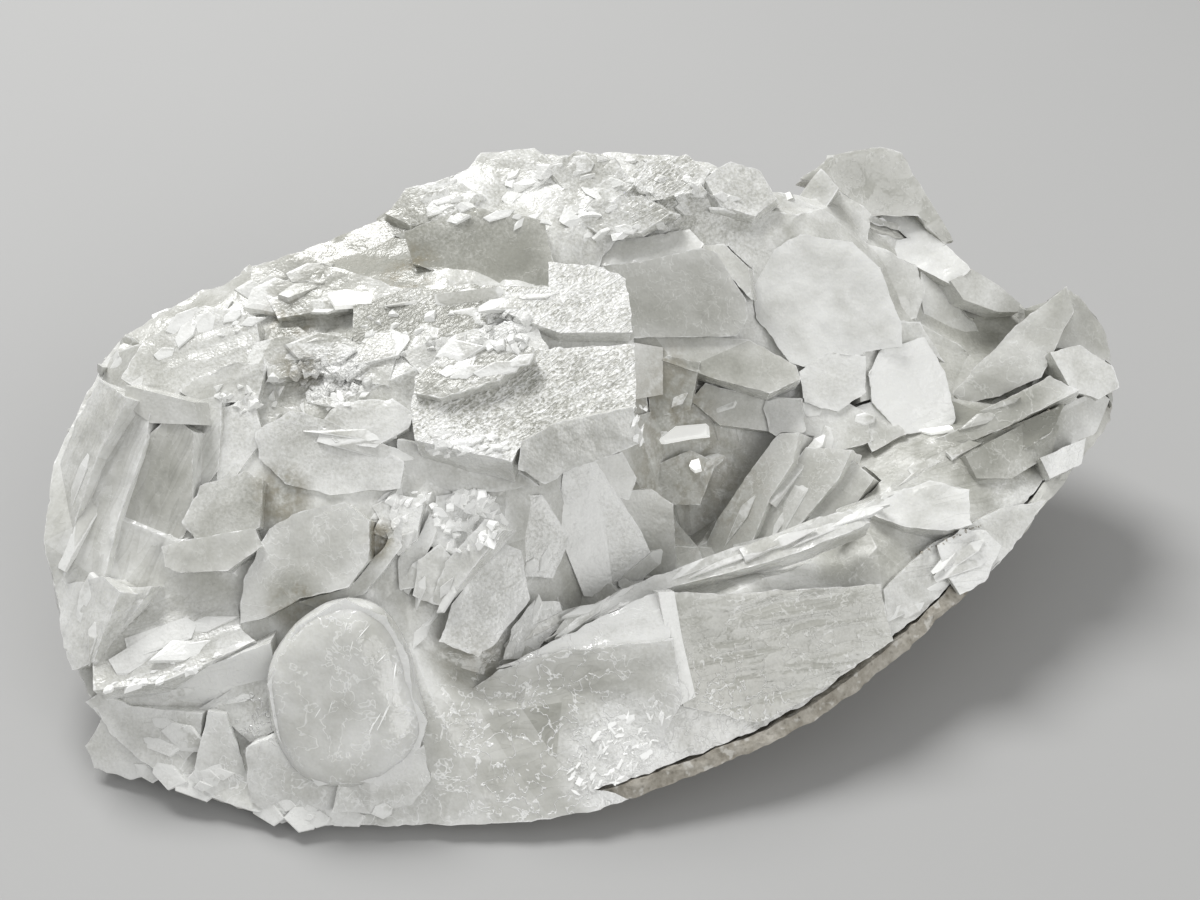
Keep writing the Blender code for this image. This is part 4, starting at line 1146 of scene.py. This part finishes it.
def calcite(name, milk, gloss, grain, clearness, depth=1.6, streaks=(), print_way=None):
    """Calcite: grey and glassy where it is clear, white where it is milky, broken or worn, with real frosted
    white and a painted highlight along its sharp edges, and a painted glow a few mm in from them. Milk is how
    white it is, gloss how smooth, grain how sugary; clearness is how much light goes in, and depth how far in
    mm. Streaks are the shares of the piece that are drawn out, with their ways, and print_way is how its
    sugary lines run."""
    f = Finish(name)
    apart = f.attribute("from_edge")
    glass = f.attribute("glass")
    white = f.attribute("tone") + f.attribute("milk_here") - f.attribute("share_unseen") * 0.4 + milk
    smooth = glass * 0.5 + f.attribute("gloss_here") + gloss
    sugar = (f.attribute("sugar") + f.attribute("grain_here") + grain).most(0.0)
    cracked = f.attribute("cracks") + glass * 0.35
    shingles = 0.0
    for share, way in streaks:
        steps = (f.noise(f.drawn_out(way, 7), 2.2, 1, 0.5) * 7).fraction()
        shingles = steps * f.attribute(share) + shingles
    veil = f.noise(f.at, 7, 1, 0.6, 0.6)
    wisps = f.noise(f.at, 1.3, 2, 0.65)
    specks = f.noise(f.at, 0.42, 1, 0.6)
    curl = f.noise(f.drawn_out(print_way, 4) if print_way else f.at, 0.55, 0, 0.5, 0.5)
    print_lines = f.step((curl * 2 - 1).size(), 0.0, 0.26, 1.0, 0.0)
    print_lines = (print_lines - 0.45) * f.step(sugar, 0.5, 0.95)
    threads = f.noise(f.at, 3.4, 3, 0.6, 0.3)
    threads = f.step((threads * 2 - 1).size(), 0.0, 0.04, 1.0, 0.0)
    cracks = threads * f.step(veil * 0.5 + wisps * 0.5, 0.32, 0.44)
    # Whiter along the sharp edges: partly the real frosted white of broken edges, partly a painted highlight
    # along them.
    frost = f.step(apart + (wisps - 0.5) * 0.5, 0.0, 0.2, 1.0, 0.0)
    # Painted glow: whiter within a few mm of the edges, standing in for light that shines through the calcite
    # there.
    glow = f.step(apart, 0.0, 3.2, 1.0, 0.0)
    cloudy = 0.75 - glass * 0.6
    milky = (veil - 0.5) * cloudy * 0.9 + (wisps - 0.5) * cloudy * 0.22 + white
    milky = milky + frost * 0.36 + glow * 0.13 - 0.04
    milky = milky + (specks - 0.5) * (sugar * 1.2 + 0.12) + print_lines * 0.36
    milky = (milky + shingles * 0.14 + cracks * cracked * 0.8).clamped()
    colour = f.mixed(f.step(milky, 0.0, 0.45), CLEAR, GREY)
    colour = f.mixed(f.step(milky, 0.3, 0.95), colour, MILK)
    stain = f.step(veil * 0.4 + wisps * 0.6, 0.4, 0.6)
    colour = f.mixed((stain * f.attribute("warmth")).clamped(), colour, WARM)
    height = specks * sugar * 0.9 + print_lines * 0.5 + wisps * 0.55
    height = height + shingles * 0.7 + threads * cracked * 0.4
    rough = 0.34 - smooth * 0.26 + frost * 0.1 + sugar * 0.06 + (wisps - 0.5) * 0.3
    return f.set(
        Base_Color=colour,
        Roughness=f.node("ShaderNodeClamp", {}, rough, 0.12, 0.8),
        Normal=f.bump(height, 0.2, 0.9),
        Subsurface_Weight=clearness,
        Subsurface_Radius=(1.0, 1.0, 0.92),
        Subsurface_Scale=depth * MM,
        IOR=1.58,
    )


def flash(name, shine):
    """A clean cleavage face: polished, white, and catching the light, and glowing with painted light of its
    own, though it is no lamp. The second argument is how brightly it glows.
    """
    f = Finish(name)
    dust = f.noise(f.at, 0.5, 3)
    colour = f.mixed(dust * 0.3, (0.93, 0.935, 0.92), (0.8, 0.8, 0.785))
    return f.set(
        Base_Color=colour,
        Roughness=(0.1 + dust * 0.12).clamped(),
        Normal=f.bump(f.noise(f.at, 1.2, 2), 0.03, 0.5),
        IOR=1.66,
        Coat_Weight=0.6,
        Coat_Roughness=0.08,
        # Painted highlight: the emission makes the face glow, though it is no lamp.
        Emission_Color=(0.95, 0.95, 0.92, 1),
        Emission_Strength=shine,
    )


def rock(name):
    """The host rock: brown and grey, mottled, with dark specks and pale flecks of calcite, and pale where
    milk_here."""
    f = Finish(name)
    broad = f.noise(f.at, 5, 5, 0.65)
    fine = f.noise(f.at, 0.9, 4, 0.6)
    flecks = f.step(f.noise(f.at, 1.6, 3, 0.5), 0.58, 0.66)
    pits = f.cells(f.at, 1.1)
    browns = ((0.3, (0.16, 0.145, 0.115)), (0.46, (0.34, 0.315, 0.265)), (0.62, (0.5, 0.475, 0.42)))
    colour = f.ramp(broad * 0.6 + fine * 0.4, *browns)
    colour = f.mixed(flecks * 0.6, colour, (0.68, 0.67, 0.63))
    colour = f.mixed(f.step(pits, 0.0, 0.3, 0.6, 0.0), colour, (0.13, 0.12, 0.095))
    colour = f.mixed((f.attribute("milk_here") * (fine * 0.4 + 0.75)).clamped(), colour, (0.66, 0.66, 0.62))
    bumped = f.bump(fine * 0.6 + pits * 0.5 + broad * 0.5, 0.4, 0.9)
    return f.set(Base_Color=colour, Roughness=(0.8 + (fine - 0.5) * 0.4).clamped(), Normal=bumped)


def floor_finish():
    f = Finish("studio_floor")
    cloud = f.noise(f.at, 60, 3)
    colour = f.mixed(cloud * 0.3, (0.42, 0.42, 0.415), (0.45, 0.45, 0.445))
    return f.set(Base_Color=colour, Roughness=0.8)


# ---------------------------------------------------------------- putting it together

# Regions: a name, a place in the view, a reach in mm, and what they add to milk, gloss, grain, warmth and
# cracks, up to the last one of these that they change.
BODY_REGIONS = (
    ("glassy wall", (540, 730), 17, (-0.14, 0.5, -0.2, 0.05, 1.0)),
    ("wall under the right face", (720, 720), 11, (0, 0.3, 0, 0.1, 0.5)),
    ("wall's right face", (800, 640), 16, (0, 0.2, 0, 0.06, 0.2)),
    ("foil", (616, 752), 9, (0.5, 0.6, 0.6)),
    ("lower left", (240, 760), 14, (0.06, 0.3, 0, 0, 0.4)),
    ("foot, middle", (380, 800), 12, (0.08, 0.2, 0, 0, 0.3)),
    ("fractures", (270, 715), 6, (0.1, 0.3, 0.3, 0, 1.0)),
    ("bright slope", (165, 655), 10, (0.04, 0, 0.2)),
    ("left end", (110, 500), 18, (0, 0.25, -0.15)),
    ("mound", (500, 360), 18, (-0.06, 0, 0.2)),
    ("mound's left", (330, 340), 16, (-0.14, 0, 0.35, 0, 0.1)),
    ("crumbs", (335, 378), 6, (0.25, 0, 0.4)),
    ("more crumbs", (505, 330), 5, (0.2, 0, 0.4)),
    ("ridge, left", (450, 200), 14, (0, 0, 0.4)),
    ("ridge, middle", (600, 180), 16, (0.02, 0, 0.45)),
    ("ridge, right", (710, 190), 14, (-0.08, 0, 0.4)),
    ("streaky edge", (460, 445), 6, (0.25, 0.3, 0.4, 0, 0.2)),
    ("sparkling grain", (470, 525), 6, (0.4, 0.4, 0.6)),
    ("curled plates", (400, 520), 5, (0.2, 0.2, 0.4)),
    ("rim, clear", (995, 425), 13, (-0.5, 0.4, -0.1, 0, 0.3)),
    ("cleaved patch", (1065, 455), 5, (0.3, 0.3, 0.3)),
    ("rim patch", (1014, 492), 5, (0.25, 0.3, 0.3)),
    ("pocket under the ridge", (412, 275), 5, (-0.25, 0, 0.2, 0.8)),
    ("pocket on the slab", (290, 325), 4, (-0.15, 0, 0.2, 0.7)),
    ("pocket below it", (300, 370), 3.5, (-0.15, 0, 0.2, 0.6)),
    ("pocket under the lip", (280, 497), 5, (-0.2, 0, 0.2, 0.7)),
    ("curled plates' pocket", (374, 540), 3.5, (-0.35, 0, 0.2, 0.9)),
    ("left shoulder", (180, 340), 12, (-0.04, 0.1)),
    ("crest's top", (892, 460), 8, (-0.34, -0.6, 0, 0, 0.2)),
    ("under the crest", (858, 550), 7, (-0.34, -0.8, 0, 0, 0.2)),
    ("slab's top", (340, 250), 16, (-0.42, 0.1, 0.1, 0.15)),
    ("slot", (300, 602), 5, (-0.35, 0, 0, 0.6)),
    ("gaps in the middle", (470, 655), 6, (-0.15, 0.1, 0.1, 0.4)),
)
HOLLOW_REGIONS = (
    ("hollow", (690, 480), 13, (0, 0.1, 0.1, 0.55, 0.2)),
    ("hollow's back", (670, 390), 8, (-0.16, 0, 0.1, 0.6)),
    ("hollow's right", (800, 470), 10, (0.04, 0.1, 0, 0.1, 0.2)),
)
RIND_REGIONS = (
    ("rim's end", (1085, 440), 17, (1.0,)),
    ("rim's edge", (1040, 500), 9, (0.8,)),
    ("under the shelf", (882, 230), 10, (1.0,)),
    ("under the slope", (1012, 304), 9, (1.0,)),
)
# Streaks in the finish: the share that has them, a place in the view, and the angle that they run at there.
# The printed lines of sugary faces run at an angle too.
PRINT_AT = (560, 390)
PRINT_ANGLE = 35
STREAKS = (("share_left", (120, 490), 65), ("share_slope", (170, 650), 18), ("share_front", (800, 640), 10))

LENS_REGIONS = (("lens", LENS_MIDDLE, 30, (0, 0, 0, 0, 0.3)),)

# The slots that aren't white calcite's, and the pieces that sparkle, whose finish adds a painted glow.
SLOTS = {"hollow_blades": "grey_calcite", "crack_specks": "host_rock"}
SPARKLING = ("wall_sparkle", "centre_crumbs", "lens_scratches", "edge_sparkle")


# The soft studio, in W and metres.
WORLD_LIGHT = 0.41
KEY_POWER = 5.4
KEY_SIZE = 0.4
FILL_POWER = 3.5
FILL_SIZE = 0.7
FILL_AT = (0.5, -0.75, 0.5)
FLOOR_SIZE = 6
FLOOR_DROP = 0.0002


def add_floor():
    bpy.ops.mesh.primitive_plane_add(size=FLOOR_SIZE, location=(0, 0, -FLOOR_DROP))
    floor = bpy.context.object
    floor.name = "studio_floor"
    floor.data.transform(floor.matrix_world)
    floor.matrix_world = Matrix.Identity(4)
    floor.data.materials.append(floor_finish())


def add_light(name, at, size, power, aim=(0, 0, 0.02)):
    lamp = bpy.data.lights.new(name, "AREA")
    lamp.shape = "DISK"
    lamp.size = size
    lamp.energy = power
    made = bpy.data.objects.new(name, lamp)
    bpy.context.scene.collection.objects.link(made)
    made.location = at
    made.rotation_euler = (Vector(aim) - Vector(at)).to_track_quat("-Z", "Y").to_euler()


def add_studio():
    world = bpy.data.worlds.new("studio")
    bpy.context.scene.world = world
    world.use_nodes = True
    world.node_tree.nodes["Background"].inputs["Color"].default_value = (1, 1, 1, 1)
    world.node_tree.nodes["Background"].inputs["Strength"].default_value = WORLD_LIGHT
    bpy.context.scene.view_settings.view_transform = "Standard"
    bpy.context.scene.cycles.diffuse_bounces = 2
    bpy.context.scene.cycles.glossy_bounces = 2
    add_light("key", KEY_AT, KEY_SIZE, KEY_POWER)
    add_light("fill", FILL_AT, FILL_SIZE, FILL_POWER)


def add_camera():
    lens = bpy.data.cameras.new("camera")
    lens.lens = LENS
    lens.sensor_width = SENSOR_WIDTH
    lens.clip_start = 0.01
    made = bpy.data.objects.new("camera", lens)
    bpy.context.scene.collection.objects.link(made)
    made.location = EYE
    made.rotation_euler = (math.pi / 2 - math.radians(VIEW_HEIGHT_DEG), 0, 0)
    bpy.context.scene.camera = made


def finished(piece, finish, slot, *nodes):
    piece.data.materials.clear()
    piece.data.materials.append(finish)
    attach(piece, "root")
    if nodes:
        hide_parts(*nodes)


def regions(surface, places):
    return [(seen(surface, *place)[0] / MM, reach, more) for _, place, reach, more in places]


def main():
    add_camera()
    add_studio()
    add_floor()
    body = dress_mass()
    crust = dress_crust()
    rind = dress_rind()
    lens = add_front_lens(ground(body))
    surface = ground(body, crust, lens)
    hollow_regions = regions(surface, HOLLOW_REGIONS)
    all_regions = regions(surface, BODY_REGIONS) + hollow_regions
    print_way = run_at(surface, PRINT_AT, PRINT_ANGLE)
    streaks = [(share, run_at(surface, place, angle)) for share, place, angle in STREAKS]
    body_finish = calcite("calcite_body_finish", 0.57, 0.35, 0.16, 0.15, 2.6, streaks, print_way)
    crust_finish = calcite("hollow_finish", 0.51, 0.35, 0.08, 0.15, 2.2)
    crystal_finish = calcite("crystal_finish", 0.53, 0.35, 0.15, 0.0)
    lens_finish = calcite("lens_finish", 0.68, 0.7, 0.0, 0.5, 3.0)
    # Both flash finishes glow with painted light: a faint painted highlight on the sparkling pieces and a
    # brighter one on the cleavage flashes.
    sparkle_finish = flash("sparkle_finish", 0.12)
    flash_finish = flash("flash_finish", 0.4)
    drawn = add_drawn_crystals(surface)
    mark_regions(body, all_regions)
    mark_regions(crust, hollow_regions)
    mark_regions(lens, regions(surface, LENS_REGIONS))
    mark_regions(drawn, all_regions)
    finished(body, body_finish, "white_calcite", "calcite_mass")
    finished(crust, crust_finish, "grey_calcite", "hollow_crystal_crust")
    mark_regions(rind, regions(ground(body, crust, rind), RIND_REGIONS))
    rock_finish = rock("rock_finish")
    finished(rind, rock_finish, "host_rock", "host_rock_rind")
    finished(lens, lens_finish, "white_calcite")
    finished(drawn, crystal_finish, "white_calcite")
    finished(add_flashes(surface), flash_finish, "white_calcite")

    shapes = templates()
    chance = random.Random(SEED)
    groups = {}
    for patch in SEEN_PATCHES + UNSEEN_PATCHES:
        groups.setdefault(patch["piece"], []).extend(grow_patch(patch, shapes, surface, chance))
    for name, parts in groups.items():
        piece = joined(name, parts)
        mark_regions(piece, all_regions)
        finish = sparkle_finish if name in SPARKLING else crystal_finish
        if name == "crack_specks":
            finish = rock_finish
        finished(piece, finish, SLOTS.get(name, "white_calcite"))
    for kind in shapes.values():
        for shape in kind:
            bpy.data.objects.remove(shape)


main()
